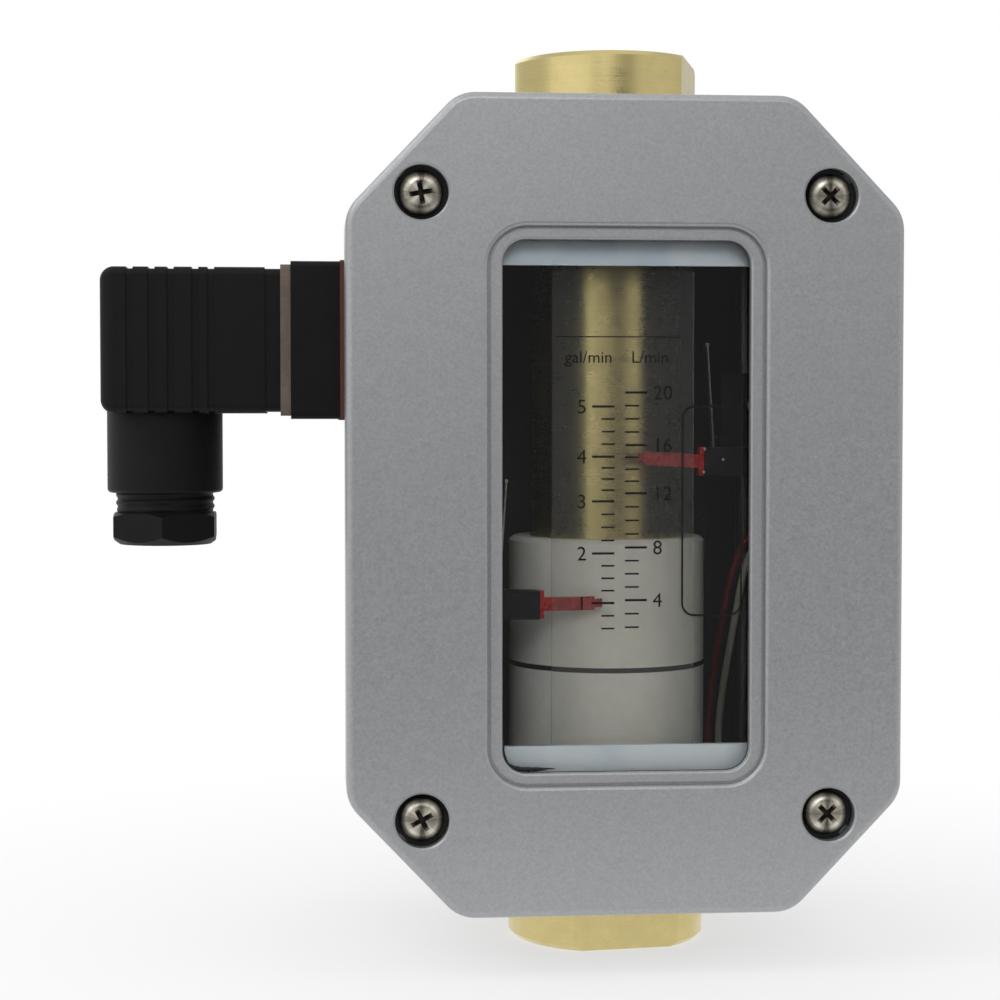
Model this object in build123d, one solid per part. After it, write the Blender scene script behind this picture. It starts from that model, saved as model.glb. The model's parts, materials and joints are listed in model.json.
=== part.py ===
from build123d import *
import math
import os

# Flow alarm. Millimetres. Origin at the centre of the inlet port's end face, +Z along the pipe in the
# direction of flow, the window faces -Y and +X is to the right of someone reading the scale.

# Pipe and pressure casing
pipe_length = 168.0
port_radius = 18.88
port_chamfer = 0.85
flat_half_width = 15.875
flat_length = 9.0
inlet_flat_turn = 7.0
outlet_flat_turn = 73.0
thread_radius = 9.89
inlet_thread_length = 18.0
inlet_passage_radius = 8.5
shoulder_z = 30.2
casing_radius = 14.3
casing_bore_radius = 10.5
spider_seat_z = 28.0
outlet_thread_length = 15.8
fitting_overlap = 9.2
screw_fit = 0.05
oring_wire = 1.8
oring_from_end = 5.2

# Parts in the casing
spider_thickness = 3.0
spider_hub_radius = 3.6
spider_arm_width = 1.8
spider_rim = 1.5
spider_clearance = 0.1
upper_spider_radius = 12.5
cone_stub_radius = 2.0
cone_base_radius = 5.9
cone_top_radius = 3.2
seat_gap = 0.3
piston_clearance = 0.3
orifice_thickness = 1.2
orifice_clearance = 0.3
piston_flange = 2.8
piston_sleeve_radius = 7.0
piston_sleeve_wall = 0.6
piston_sleeve_length = 21.0
magnet_length = 12.0
magnet_clearance = 0.5
magnet_retainer_thickness = 1.5
spring_wire_radius = 0.6
spring_mean_radius = 8.4
spring_turns = 12

# Follower
follower_length = 45.4
follower_clearance = 0.5
index_band_z = 53.15
index_band_width = 0.95
index_band_depth = 0.5
follower_magnet_wall = 1.3
follower_magnet_lift = 5.0
follower_edge = 0.8

# Brackets, rods and scale
bracket_thickness = 1.5
bracket_hole_gap = 0.3
bracket_front_half_width = 24.0
bracket_side_margin = 3.8
bracket_wide_from_y = 4.0
bracket_back_y = 16.0
rod_radius = 2.0
rod_inner_x = 29.0
rod_outer_x = 34.0
rod_y = 8.5
rod_overhang = 2.6
nut_across_flats = 7.0
nut_height = 2.2
nut_turn = 30.0
scale_half_width = 13.1
scale_thickness = 1.0
scale_front_y = -22.8
scale_gap_below = 1.3
scale_gap_above = 0.5
tab_half_width = 12.0
tab_lower_length = 6.8
tab_upper_length = 8.5
scale_screw_x = 8.0
scale_screw_radius = 1.25
scale_screw_head_radius = 2.4
scale_screw_head = 1.4

# Set-point carriages, built on the right and mirrored to the left
low_set_z = 65.8
high_set_z = 92.1
carriage_inner_x = 22.0
carriage_outer_x = 38.0
carriage_front_y = 3.5
carriage_back_y = 13.5
carriage_below = 3.4
carriage_above = 16.6
rod_running_fit = 0.06
arm_half_height = 2.6
arm_tip_x = 15.3
arm_front_y = -23.0
arm_back_y = -18.5
web_thickness = 3.0
web_outer_x = 37.5
pointer_y = -20.4
pointer_thickness = 1.0
pointer_height = 2.5
pointer_flange = 0.7
pointer_flange_depth = 2.2
pointer_nib_length = 1.4
pointer_nib_height = 1.6
low_pointer_reach = 11.0
high_pointer_reach = 11.6
low_pointer_tilt = 1.0
high_pointer_tilt = 3.5

# Switches
switch_height = 10.0
switch_thickness = 6.4
switch_face_x = 22.0
lever_hinge_x = 21.0
lever_hinge_drop = 1.0
lever_length = 23.2
lever_sheet = 0.3
lever_width = 3.6
lever_tip_radius = 0.35
lever_tip_gap = 0.32
lever_eye_radius = 0.9
hinge_pin_radius = 0.4
hinge_fit = 0.05
ear_thickness = 0.7
ear_gap = 0.35
plunger_radius = 0.9
plunger_fit = 0.07
plunger_above_hinge = 5.0
plunger_inside = 3.5
plunger_travel = 0.44
plunger_gap = 0.02
terminal_length = 4.0
terminal_width = 3.2
terminal_sheet = 0.5
terminal_heights = (6.0, 14.4)
switch_screw_radius = 1.0
switch_screw_head_radius = 1.9
switch_screw_head = 1.2
switch_screw_heights = (0.8, 10.4)
switch_screw_bite = 2.5
lock_screw_radius = 1.5
lock_screw_height = 10.0
lock_head_radius = 3.6
lock_head_length = 3.2
lock_head_gap = 0.4
lock_tip_gap = 0.05

# Leads
lead_radius = 0.7
lead_pitch = 2.2
lead_inner_x = 22.8
lead_outer_x = 41.3
lead_drop_x = 27.2
lead_drop_below = 14.0
lead_notch_y = 14.5
lead_bend_z = 44.0
lead_largest_bend = 8.0
harness_drop = 6.7
harness_x = -44.6
harness_corner_x = -33.0
harness_corner_z = 38.0
harness_front_y = 17.6
harness_pitch = 1.8

# Housing
box_x = -0.9
cover_half_width = 50.1
port_shows_below = 10.85
port_shows_above = 10.45
corner_cut_x = 20.0
corner_cut_z = 21.0
corner_round = 7.0
cover_front_y = -36.0
cover_back_y = -25.0
cover_edge_round = 1.3
wall = 3.0
gasket_thickness = 1.5
gasket_inset = 0.4
gasket_width = 4.4
housing_inset = 1.1
housing_back_y = 38.0
housing_edge_round = 4.0
boss_radius = 5.2
boss_depth = 15.5
wall_seal_width = 2.4
wall_seal_gap = 0.03
wall_seal_lip = 1.2
wall_seal_lip_radius = 1.1
cover_screw_x = 36.7
cover_screw_from_end = 17.7
counterbore_radius = 4.85
counterbore_edge = 0.35
cover_screw_sunk = 1.3
cover_screw_head_radius = 4.05
cover_screw_head = 2.6
cover_screw_radius = 2.0
cover_screw_reach = 20.0
cover_screw_clearance = 0.2
cross_span = 4.1
cross_width = 0.9
cross_depth = 1.7
cross_turns = (10.0, 45.0, 28.0, 45.0)

# Window
opening_half_width = 22.3
opening_from_end = 25.8
opening_round = 4.2
surround_side = 2.6
surround_end = 2.3
surround_round = 7.0
surround_depth = 1.0
surround_edge_round = 0.8
groove_width = 0.5
groove_depth = 0.4
lip_edge_round = 0.45
window_gasket_thickness = 0.5
window_gasket_gap = 0.3
glass_thickness = 2.5
glass_side_lap = 3.7
glass_end_lap = 3.45
retainer_thickness = 1.2
retainer_side_lap = 6.0
retainer_end_lap = 2.5
retainer_corner_cut = 5.0
retainer_opening_side = 2.2
retainer_shows = 4.3
retainer_screw_from_side = 2.9
retainer_screw_z = 38.0
retainer_boss_radius = 2.6
retainer_screw_radius = 1.25
retainer_screw_head_radius = 2.4
retainer_screw_head = 1.6
label_thickness = 0.15
label_x = 15.2
label_z = 83.3
label_half_width = 5.9
label_half_height = 19.4
label_round = 2.4

# Connector
connector_z = 114.5
wall_hole_radius = 9.0
wall_gasket_thickness = 1.7
base_half_width = 15.0
base_half_height = 14.6
base_length = 9.1
base_edge = 1.0
plug_gasket_thickness = 1.9
plug_gasket_inset = 0.6
plug_half_width = 13.75
plug_half_height = 13.55
plug_length = 33.2
plug_wall = 2.2
plug_corner_round = 2.6
plug_step_length = 2.9
plug_step = 0.3
plug_rib_places = (5.5, 9.5, 13.0, 17.5, 20.4)
plug_rib_width = 1.3
plug_rib_depth = 0.35
neck_radius = 10.9
neck_from_end = 11.1
neck_length = 15.0
neck_foot_round = 0.8
gland_thread_radius = 9.0
gland_thread_shown = 3.8
gland_thread_inside = 8.0
gland_head_across_flats = 18.9
gland_head_length = 6.0
gland_bore_radius = 4.5
gland_seal_length = 5.0
gland_seal_bore_radius = 4.0
insert_length = 15.0
insert_half_width = 9.4
insert_gap = 0.3
contact_width = 6.3
contact_sheet = 0.8
contact_out = 10.0
contact_in = 6.6
contact_offset = 6.0
contact_stagger = 2.4
contact_slot_gap = 0.35
tail_width = 2.5
plug_screw_radius = 1.5
plug_screw_head_radius = 2.9
plug_screw_head = 2.2
plug_screw_sunk = 0.6
base_screw_offset = 11.0
base_screw_radius = 1.4
base_screw_head_radius = 2.6
base_screw_head = 1.5
base_screw_reach = 5.0

# Values that follow from the ones above
casing_top_z = pipe_length - outlet_thread_length - spider_thickness
fitting_bottom_z = casing_top_z - fitting_overlap
oring_z = casing_top_z - oring_from_end
cover_half_height = (pipe_length - port_shows_below - port_shows_above) / 2
box_z = port_shows_below + cover_half_height
cover_screw_z = cover_half_height - cover_screw_from_end
opening_half_height = cover_half_height - opening_from_end
surround_half_width = opening_half_width + surround_side
surround_half_height = opening_half_height + surround_end
glass_half_width = opening_half_width + glass_side_lap
glass_half_height = opening_half_height + glass_end_lap
retainer_half_width = glass_half_width + retainer_side_lap
retainer_half_height = glass_half_height + retainer_end_lap
retainer_opening_half_width = opening_half_width + retainer_opening_side
retainer_opening_half_height = opening_half_height - retainer_shows
retainer_screw_x = retainer_half_width - retainer_screw_from_side
spider_top_z = spider_seat_z + spider_thickness
lower_plate_top_z = shoulder_z + bracket_thickness
upper_plate_bottom_z = fitting_bottom_z - bracket_thickness
bracket_back_half_width = rod_outer_x + bracket_side_margin
tab_lower_top_z = lower_plate_top_z + tab_lower_length
tab_upper_bottom_z = upper_plate_bottom_z - tab_upper_length
scale_bottom_z = lower_plate_top_z + scale_gap_below
scale_top_z = upper_plate_bottom_z - scale_gap_above
harness_z = shoulder_z - harness_drop
orifice_z = spider_top_z + seat_gap
flange_z = orifice_z + orifice_thickness
magnet_z = flange_z + piston_flange
magnet_top_z = magnet_z + magnet_length
spring_seat_z = magnet_top_z + magnet_retainer_thickness
piston_radius = casing_bore_radius - piston_clearance
follower_z = lower_plate_top_z + seat_gap
follower_bore_radius = casing_radius + follower_clearance
fitting_bore_radius = casing_radius + screw_fit
outlet_thread_z = casing_top_z + spider_thickness
scale_back_y = scale_front_y + scale_thickness
face_inner_y = cover_front_y + wall
housing_front_y = cover_back_y + gasket_thickness
housing_half_width = cover_half_width - housing_inset
housing_half_height = cover_half_height - housing_inset
lip_y = cover_front_y + surround_depth
glass_front_y = face_inner_y + window_gasket_thickness
glass_back_y = glass_front_y + glass_thickness
screw_seat_y = cover_front_y + cover_screw_sunk + cover_screw_head
wall_x = box_x - housing_half_width
base_outer_x = wall_x - wall_gasket_thickness - base_length
base_inner_x = wall_x - wall_gasket_thickness
plug_inner_x = base_outer_x - plug_gasket_thickness
plug_outer_x = plug_inner_x - plug_length
gland_x = plug_outer_x + neck_from_end
neck_bottom_z = connector_z - plug_half_height - neck_length
gland_head_top_z = neck_bottom_z - gland_thread_shown
gland_bottom_z = gland_head_top_z - gland_head_length
cover_screw_places = [
    (sx * cover_screw_x, sz * cover_screw_z) for sz in (1, -1) for sx in (-1, 1)
]
contact_places = [
    (contact_offset, -contact_stagger),
    (0.0, -contact_offset),
    (0.0, contact_offset),
    (-contact_offset, contact_stagger),
]


def cylinder_z(radius, z0, z1, x=0.0, y=0.0):
    return Pos(x, y, z0) * Cylinder(radius, z1 - z0, align=(Align.CENTER, Align.CENTER, Align.MIN))


def cylinder_x(radius, x0, x1, y, z):
    return Pos((x0 + x1) / 2, y, z) * Rot(0, 90, 0) * Cylinder(radius, x1 - x0)


def cylinder_y(radius, y0, y1, x, z):
    return Pos(x, (y0 + y1) / 2, z) * Rot(90, 0, 0) * Cylinder(radius, y1 - y0)


def block(x0, x1, y0, y1, z0, z1):
    return Pos((x0 + x1) / 2, (y0 + y1) / 2, (z0 + z1) / 2) * Box(x1 - x0, y1 - y0, z1 - z0)


def ring(outer, inner, z0, z1):
    return cylinder_z(outer, z0, z1) - cylinder_z(inner, z0, z1)


def turned(points):
    """A solid turned about Z from (radius, height) points."""
    return revolve(Plane.XZ * make_face(Polyline(*points, close=True)), axis=Axis.Z)


def front_plane(y):
    """Sketch plane of the housing: x to the right, y up, thickness towards the viewer."""
    return Plane(origin=(box_x, y, box_z), x_dir=(1, 0, 0), z_dir=(0, -1, 0))


def octagon(half_width, half_height, cut_x, cut_z, corner):
    w, h = half_width, half_height
    points = [
        (w - cut_x, h), (w, h - cut_z), (w, cut_z - h), (w - cut_x, -h),
        (cut_x - w, -h), (-w, cut_z - h), (-w, h - cut_z), (cut_x - w, h),
    ]
    face = make_face(Polyline(*points, close=True))
    return fillet(face.vertices(), corner)


def housing_outline(inset):
    """The housing's octagon, moved inwards by inset on every side, the slanted ones too."""
    slant = math.hypot(corner_cut_x, corner_cut_z)
    cut_x = corner_cut_x - inset * (corner_cut_x + corner_cut_z - slant) / corner_cut_z
    cut_z = corner_cut_z - inset * (corner_cut_x + corner_cut_z - slant) / corner_cut_x
    corner = max(corner_round - inset, 1.0)
    return octagon(cover_half_width - inset, cover_half_height - inset, cut_x, cut_z, corner)


def rounded_plate(half_width, half_height, corner):
    return RectangleRounded(2 * half_width, 2 * half_height, corner)


def slab(sketch, y_front, y_back):
    """A sketch on the housing's front plane, from y_back forward to y_front."""
    return extrude(front_plane(y_back) * sketch, y_back - y_front)


def wrench_flats(turn, z0, z1):
    """Cutters for two opposite flats, the first facing turn degrees to the right of the front."""
    cutter = block(-port_radius, port_radius, -2 * port_radius, -flat_half_width, z0, z1)
    return [Rot(0, 0, turn) * cutter, Rot(0, 0, turn + 180) * cutter]


def hexagon_z(across_flats, z0, z1, x, y, turn=0.0):
    outline = RegularPolygon(across_flats / 2, 6, major_radius=False, rotation=turn)
    return extrude(Pos(x, y, z0) * outline, z1 - z0)


def wire(points):
    """A round lead along straight runs joined by the largest arcs that its runs allow."""
    radii = []
    for before, corner, after in zip(points, points[1:], points[2:]):
        first = Vector(*corner) - Vector(*before)
        second = Vector(*after) - Vector(*corner)
        half_turn = math.radians(first.get_angle(second)) / 2
        allowed = 0.45 * min(first.length, second.length) / math.tan(half_turn)
        radii.append(min(allowed, lead_largest_bend))
    path = FilletPolyline(*points, radius=radii)
    return sweep(Plane(path @ 0, z_dir=path % 0) * Circle(lead_radius), path=path)


def pressure_casing():
    """Inlet port block and casing tube, turned from one bar."""
    body = turned([
        (thread_radius, 0),
        (port_radius - port_chamfer, 0),
        (port_radius, port_chamfer),
        (port_radius, shoulder_z),
        (casing_radius, shoulder_z),
        (casing_radius, casing_top_z),
        (casing_bore_radius, casing_top_z),
        (casing_bore_radius, spider_seat_z),
        (inlet_passage_radius, spider_seat_z),
        (inlet_passage_radius, inlet_thread_length),
        (thread_radius, inlet_thread_length),
    ])
    groove = ring(casing_radius + 1, casing_radius - oring_wire + 0.3, oring_z - oring_wire / 2,
                  oring_z + oring_wire / 2)
    return body - wrench_flats(inlet_flat_turn, 0, flat_length) - groove


def outlet_fitting():
    top = pipe_length
    body = turned([
        (fitting_bore_radius, fitting_bottom_z),
        (port_radius - port_chamfer, fitting_bottom_z),
        (port_radius, fitting_bottom_z + port_chamfer),
        (port_radius, top - port_chamfer),
        (port_radius - port_chamfer, top),
        (thread_radius, top),
        (thread_radius, outlet_thread_z),
        (fitting_bore_radius, outlet_thread_z),
    ])
    return body - wrench_flats(outlet_flat_turn, top - flat_length, top)


def outlet_oring():
    inner = casing_radius - oring_wire + 0.3
    half = oring_wire / 2
    return ring(casing_radius, inner, oring_z - half, oring_z + half)


def spider(outer, z0):
    """A rim and a bored hub joined by three arms."""
    z1 = z0 + spider_thickness
    rim = ring(outer, outer - spider_rim, z0, z1)
    hub = cylinder_z(spider_hub_radius, z0, z1)
    arm = block(0, outer - spider_rim / 2, -spider_arm_width / 2, spider_arm_width / 2, z0, z1)
    arms = [Rot(0, 0, 120 * i) * arm for i in range(3)]
    return (rim + hub + arms) - cylinder_z(cone_stub_radius + screw_fit, z0, z1)


def upper_spider():
    """The upper spider's rim also reaches inwards, so that the spring has a flat seat."""
    z0 = casing_top_z
    z1 = z0 + spider_thickness
    seat_inner = spring_mean_radius - spring_wire_radius - 0.3
    rim = ring(upper_spider_radius, seat_inner, z0, z1)
    hub = cylinder_z(spider_hub_radius, z0, z1)
    arm = block(0, upper_spider_radius - spider_rim, -spider_arm_width / 2, spider_arm_width / 2, z0, z1)
    arms = [Rot(0, 0, 120 * i) * arm for i in range(3)]
    return (rim + hub + arms) - cylinder_z(cone_stub_radius + screw_fit, z0, z1)


def metering_cone():
    return turned([
        (0, spider_seat_z),
        (cone_stub_radius, spider_seat_z),
        (cone_stub_radius, spider_top_z),
        (cone_base_radius, spider_top_z),
        (cone_base_radius, flange_z),
        (cone_top_radius, casing_top_z),
        (cone_stub_radius, casing_top_z),
        (cone_stub_radius, outlet_thread_z),
        (0, outlet_thread_z),
    ])


def orifice_disc():
    """Sharp-edged ring: its bore opens out above the edge."""
    inner = cone_base_radius + orifice_clearance
    return turned([
        (inner, orifice_z),
        (piston_radius, orifice_z),
        (piston_radius, flange_z),
        (piston_sleeve_radius - piston_sleeve_wall, flange_z),
    ])


def piston_sleeve():
    inner = piston_sleeve_radius - piston_sleeve_wall
    flange = ring(piston_radius, inner, flange_z, magnet_z)
    return flange + ring(piston_sleeve_radius, inner, magnet_z, flange_z + piston_sleeve_length)


def transfer_magnet():
    return ring(piston_radius - magnet_clearance, piston_sleeve_radius, magnet_z, magnet_top_z)


def magnet_retainer():
    return ring(piston_radius - magnet_clearance, piston_sleeve_radius, magnet_top_z, spring_seat_z)


def return_spring():
    z0 = spring_seat_z + spring_wire_radius
    z1 = casing_top_z - spring_wire_radius
    path = Pos(0, 0, z0) * Helix((z1 - z0) / spring_turns, z1 - z0, spring_mean_radius)
    return sweep(Plane(path @ 0, z_dir=path % 0) * Circle(spring_wire_radius), path=path)


def follower_magnet_radii():
    return follower_bore_radius + follower_magnet_wall, port_radius - follower_magnet_wall


def follower_sleeve():
    inner, outer = follower_magnet_radii()
    top = follower_z + follower_length
    body = ring(port_radius, follower_bore_radius, follower_z, top)
    rims = body.faces().sort_by(Axis.Z)[-1].edges()
    body = chamfer(rims.sort_by(SortBy.LENGTH)[-1], follower_edge)
    pocket = ring(outer, inner, follower_z, follower_z + follower_magnet_lift + magnet_length)
    half = index_band_width / 2
    groove = ring(port_radius + 1, port_radius - index_band_depth, index_band_z - half, index_band_z + half)
    return body - pocket - groove


def follower_magnet():
    inner, outer = follower_magnet_radii()
    z0 = follower_z + follower_magnet_lift
    return ring(outer, inner, z0, z0 + magnet_length)


def index_band():
    half = index_band_width / 2
    return ring(port_radius, port_radius - index_band_depth, index_band_z - half, index_band_z + half)


def bracket(z0, tab_z0, tab_z1):
    """Flat sheet round the casing, wide behind for the rods, with a folded tab for the scale strip."""
    z1 = z0 + bracket_thickness
    front = scale_back_y
    plate = block(-bracket_front_half_width, bracket_front_half_width, front, bracket_back_y, z0, z1)
    plate += block(-bracket_back_half_width, bracket_back_half_width, bracket_wide_from_y,
                   bracket_back_y, z0, z1)
    plate += block(-tab_half_width, tab_half_width, front, front + bracket_thickness, tab_z0, tab_z1)
    plate -= cylinder_z(casing_radius + bracket_hole_gap, z0, z1)
    for side in (-1, 1):
        for x in (rod_inner_x, rod_outer_x):
            plate -= cylinder_z(rod_radius + screw_fit, z0, z1, side * x, rod_y)
        notch_x = side * (lead_inner_x + lead_pitch / 2)
        notch_half = lead_pitch / 2 + lead_radius + 0.6
        plate -= block(notch_x - notch_half, notch_x + notch_half, lead_notch_y - lead_radius - 0.5,
                       bracket_back_y + 1, z0, z1)
        for z in scale_screw_heights():
            if tab_z0 < z < tab_z1:
                plate -= cylinder_y(scale_screw_radius + screw_fit, front, front + bracket_thickness,
                                    side * scale_screw_x, z)
    return plate


def scale_screw_heights():
    lower = (lower_plate_top_z + tab_lower_top_z) / 2
    upper = (tab_upper_bottom_z + upper_plate_bottom_z) / 2
    return lower, upper


def lower_bracket():
    return bracket(shoulder_z, shoulder_z, tab_lower_top_z)


def upper_bracket():
    return bracket(upper_plate_bottom_z, tab_upper_bottom_z, fitting_bottom_z)


def guide_rods():
    """The outer rods are threaded at both ends, and the inner ones end flush under their nuts."""
    z0 = shoulder_z
    z1 = fitting_bottom_z
    rods = []
    for side in (-1, 1):
        rods.append(cylinder_z(rod_radius, z0, z1, side * rod_inner_x, rod_y))
        rods.append(cylinder_z(rod_radius, z0 - rod_overhang, z1 + rod_overhang, side * rod_outer_x, rod_y))
    return Compound(children=rods)


def rod_nuts():
    nuts = []
    for x in (-rod_outer_x, rod_outer_x):
        for z0 in (shoulder_z - nut_height, fitting_bottom_z):
            nut = hexagon_z(nut_across_flats, z0, z0 + nut_height, x, rod_y, nut_turn)
            nuts.append(nut - cylinder_z(rod_radius + screw_fit, z0, z0 + nut_height, x, rod_y))
    return Compound(children=nuts)


def scale_strip():
    strip = block(-scale_half_width, scale_half_width, scale_front_y, scale_back_y, scale_bottom_z,
                  scale_top_z)
    for side in (-1, 1):
        for z in scale_screw_heights():
            strip -= cylinder_y(scale_screw_radius + screw_fit, scale_front_y, scale_back_y,
                                side * scale_screw_x, z)
    return strip


def pan_screw(shank, head_radius, head, length):
    """Pan-head screw along +Z, its seat at the origin, its shank below."""
    top = cylinder_z(head_radius, 0, head)
    rim = top.edges().filter_by(GeomType.CIRCLE).sort_by(Axis.Z)[-1]
    top = fillet(rim, min(0.45 * head_radius, 0.7 * head))
    return top + cylinder_z(shank, -length, 0)


def cross_recess(span, width, depth, top):
    """Cross recess with arms that narrow towards the bottom."""
    arms = []
    for turn in (0, 90):
        mouth = Pos(0, 0, top) * Rot(0, 0, turn) * Rectangle(span, width)
        bottom = Pos(0, 0, top - depth) * Rot(0, 0, turn) * Rectangle(span * 0.45, width * 0.7)
        arms.append(loft([bottom, mouth]))
    return arms


def facing_front(solid, x, y, z, turn=0.0):
    """A screw built along +Z, turned to point its head at the viewer."""
    return Pos(x, y, z) * Rot(90, 0, 0) * Rot(0, 0, turn) * solid


def scale_screws():
    length = scale_thickness + bracket_thickness
    screw = pan_screw(scale_screw_radius, scale_screw_head_radius, scale_screw_head, length)
    screw -= cross_recess(2.4, 0.6, 0.9, scale_screw_head)
    places = [(sx * scale_screw_x, z) for sx in (-1, 1) for z in scale_screw_heights()]
    return Compound(children=[facing_front(screw, x, scale_front_y, z) for x, z in places])


def carriage(set_z):
    """Black moulding: a block on two rods behind the switch, a web and an arm that holds the pointer."""
    z0 = set_z - carriage_below
    z1 = set_z + carriage_above
    body = block(carriage_inner_x, carriage_outer_x, carriage_front_y, carriage_back_y, z0, z1)
    low = set_z - arm_half_height
    high = set_z + arm_half_height
    body += block(web_outer_x - web_thickness, web_outer_x, arm_front_y, carriage_front_y, low, high)
    body += block(arm_tip_x, web_outer_x, arm_front_y, arm_back_y, low, high)
    for x in (rod_inner_x, rod_outer_x):
        body -= cylinder_z(rod_radius + rod_running_fit, z0, z1, x, rod_y)
    body -= cylinder_x(lock_screw_radius + screw_fit, rod_outer_x, carriage_outer_x, rod_y,
                       set_z + lock_screw_height)
    for z in switch_screw_heights:
        body -= cylinder_y(switch_screw_radius + screw_fit, carriage_front_y,
                           carriage_front_y + switch_screw_bite, switch_screw_x(), set_z + z)
    return body


def switch_screw_x():
    return switch_face_x + 0.7 * switch_height


def pointer(set_z, reach, tilt):
    """Red pointer: a flange against the arm's end, a flat finger and a narrow nib."""
    half = pointer_thickness / 2
    root_x = arm_tip_x - pointer_flange
    finger = block(root_x - reach + pointer_nib_length, root_x, pointer_y - half, pointer_y + half,
                   set_z - pointer_height / 2, set_z + pointer_height / 2)
    finger += block(root_x - reach, root_x, pointer_y - half * 0.8, pointer_y + half * 0.8,
                    set_z - pointer_nib_height / 2, set_z + pointer_nib_height / 2)
    pivot = Pos(root_x, pointer_y, set_z)
    finger = pivot * Rot(0, tilt, 0) * pivot.inverse() * finger
    flange = block(root_x - 0.2, arm_tip_x, pointer_y - pointer_flange_depth / 2,
                   pointer_y + pointer_flange_depth / 2, set_z - arm_half_height, set_z + arm_half_height)
    return finger + flange


def lever_lean():
    """The lever's lean from upright, so that its tip stops just clear of the follower."""
    tip_x = port_radius + lever_tip_gap + lever_tip_radius
    return math.asin((lever_hinge_x - tip_x) / lever_length)


def lever_hinge_z(set_z):
    return set_z - lever_hinge_drop


def plunger_tip_x():
    """Where the plunger meets the lever's outer face."""
    lean = lever_lean()
    middle = lever_hinge_x - (plunger_above_hinge - plunger_radius) * math.tan(lean)
    return middle + lever_sheet / 2 / math.cos(lean) + plunger_gap


def switch_case(set_z):
    """Switch moulding with two ears, and the hinge pin pressed through them."""
    y1 = carriage_front_y
    y0 = y1 - switch_thickness
    middle = (y0 + y1) / 2
    hinge_z = lever_hinge_z(set_z)
    body = block(switch_face_x, switch_face_x + switch_height, y0, y1, set_z - carriage_below,
                 set_z + carriage_above)
    ear_inner = lever_width / 2 + ear_gap
    for side in (-1, 1):
        near = middle + side * ear_inner
        far = near + side * ear_thickness
        body += block(lever_hinge_x - lever_eye_radius, switch_face_x, min(near, far), max(near, far),
                      hinge_z - lever_eye_radius, hinge_z + lever_eye_radius)
    reach = ear_inner + ear_thickness
    body += cylinder_y(hinge_pin_radius, middle - reach, middle + reach, lever_hinge_x, hinge_z)
    depth = switch_face_x + plunger_inside + plunger_travel + 1.0
    body -= cylinder_x(plunger_radius + plunger_fit, switch_face_x, depth, middle,
                       hinge_z + plunger_above_hinge)
    for z in switch_screw_heights:
        body -= cylinder_y(switch_screw_radius + screw_fit, y0, y1, switch_screw_x(), set_z + z)
    for z in terminal_heights:
        half = terminal_sheet / 2
        body -= block(switch_face_x + switch_height - 2, switch_face_x + switch_height,
                      middle - terminal_width / 2, middle + terminal_width / 2,
                      set_z + z - half, set_z + z + half)
    return body


def switch_screws(set_z):
    y0 = carriage_front_y - switch_thickness
    screw = pan_screw(switch_screw_radius, switch_screw_head_radius, switch_screw_head,
                      switch_thickness + switch_screw_bite)
    screw -= cross_recess(1.9, 0.5, 0.7, switch_screw_head)
    return Compound(children=[
        facing_front(screw, switch_screw_x(), y0, set_z + z) for z in switch_screw_heights
    ])


def switch_terminals(set_z):
    middle = carriage_front_y - switch_thickness / 2
    back = switch_face_x + switch_height
    half = terminal_sheet / 2
    return Compound(children=[
        block(back - 2, back + terminal_length, middle - terminal_width / 2,
              middle + terminal_width / 2, set_z + z - half, set_z + z + half)
        for z in terminal_heights
    ])


def switch_lever(set_z):
    """Thin leaf with a rolled eye on the hinge pin and a small rolled tip beside the follower."""
    middle = carriage_front_y - switch_thickness / 2
    y0 = middle - lever_width / 2
    y1 = middle + lever_width / 2
    hinge_z = lever_hinge_z(set_z)
    leaf = block(lever_hinge_x - lever_sheet / 2, lever_hinge_x + lever_sheet / 2, y0, y1,
                 hinge_z + hinge_pin_radius, hinge_z + lever_length)
    leaf += cylinder_y(lever_eye_radius, y0, y1, lever_hinge_x, hinge_z)
    leaf += cylinder_y(lever_tip_radius, y0, y1, lever_hinge_x, hinge_z + lever_length)
    leaf -= cylinder_y(hinge_pin_radius + hinge_fit, y0, y1, lever_hinge_x, hinge_z)
    pivot = Pos(lever_hinge_x, 0, hinge_z)
    return pivot * Rot(0, -math.degrees(lever_lean()), 0) * pivot.inverse() * leaf


def switch_plunger(set_z):
    middle = carriage_front_y - switch_thickness / 2
    z = lever_hinge_z(set_z) + plunger_above_hinge
    return cylinder_x(plunger_radius, plunger_tip_x(), switch_face_x + plunger_inside, middle, z)


def lock_screw(set_z):
    """Thumb screw that bears on the outer rod: a plain shank and a knurled head."""
    z = set_z + lock_screw_height
    head_x = carriage_outer_x + lock_head_gap
    head = cylinder_x(lock_head_radius, head_x, head_x + lock_head_length, rod_y, z)
    head = chamfer(head.edges().filter_by(GeomType.CIRCLE), 0.4)
    for i in range(18):
        angle = math.radians(20 * i)
        notch_y = rod_y + lock_head_radius * math.cos(angle)
        notch_z = z + lock_head_radius * math.sin(angle)
        head -= cylinder_x(0.3, head_x, head_x + lock_head_length, notch_y, notch_z)
    tip_x = rod_outer_x + rod_radius + lock_tip_gap
    return head + cylinder_x(lock_screw_radius, tip_x, head_x + 1, rod_y, z)


def lead_end_x(i):
    return lead_inner_x + lead_pitch * i


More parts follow.
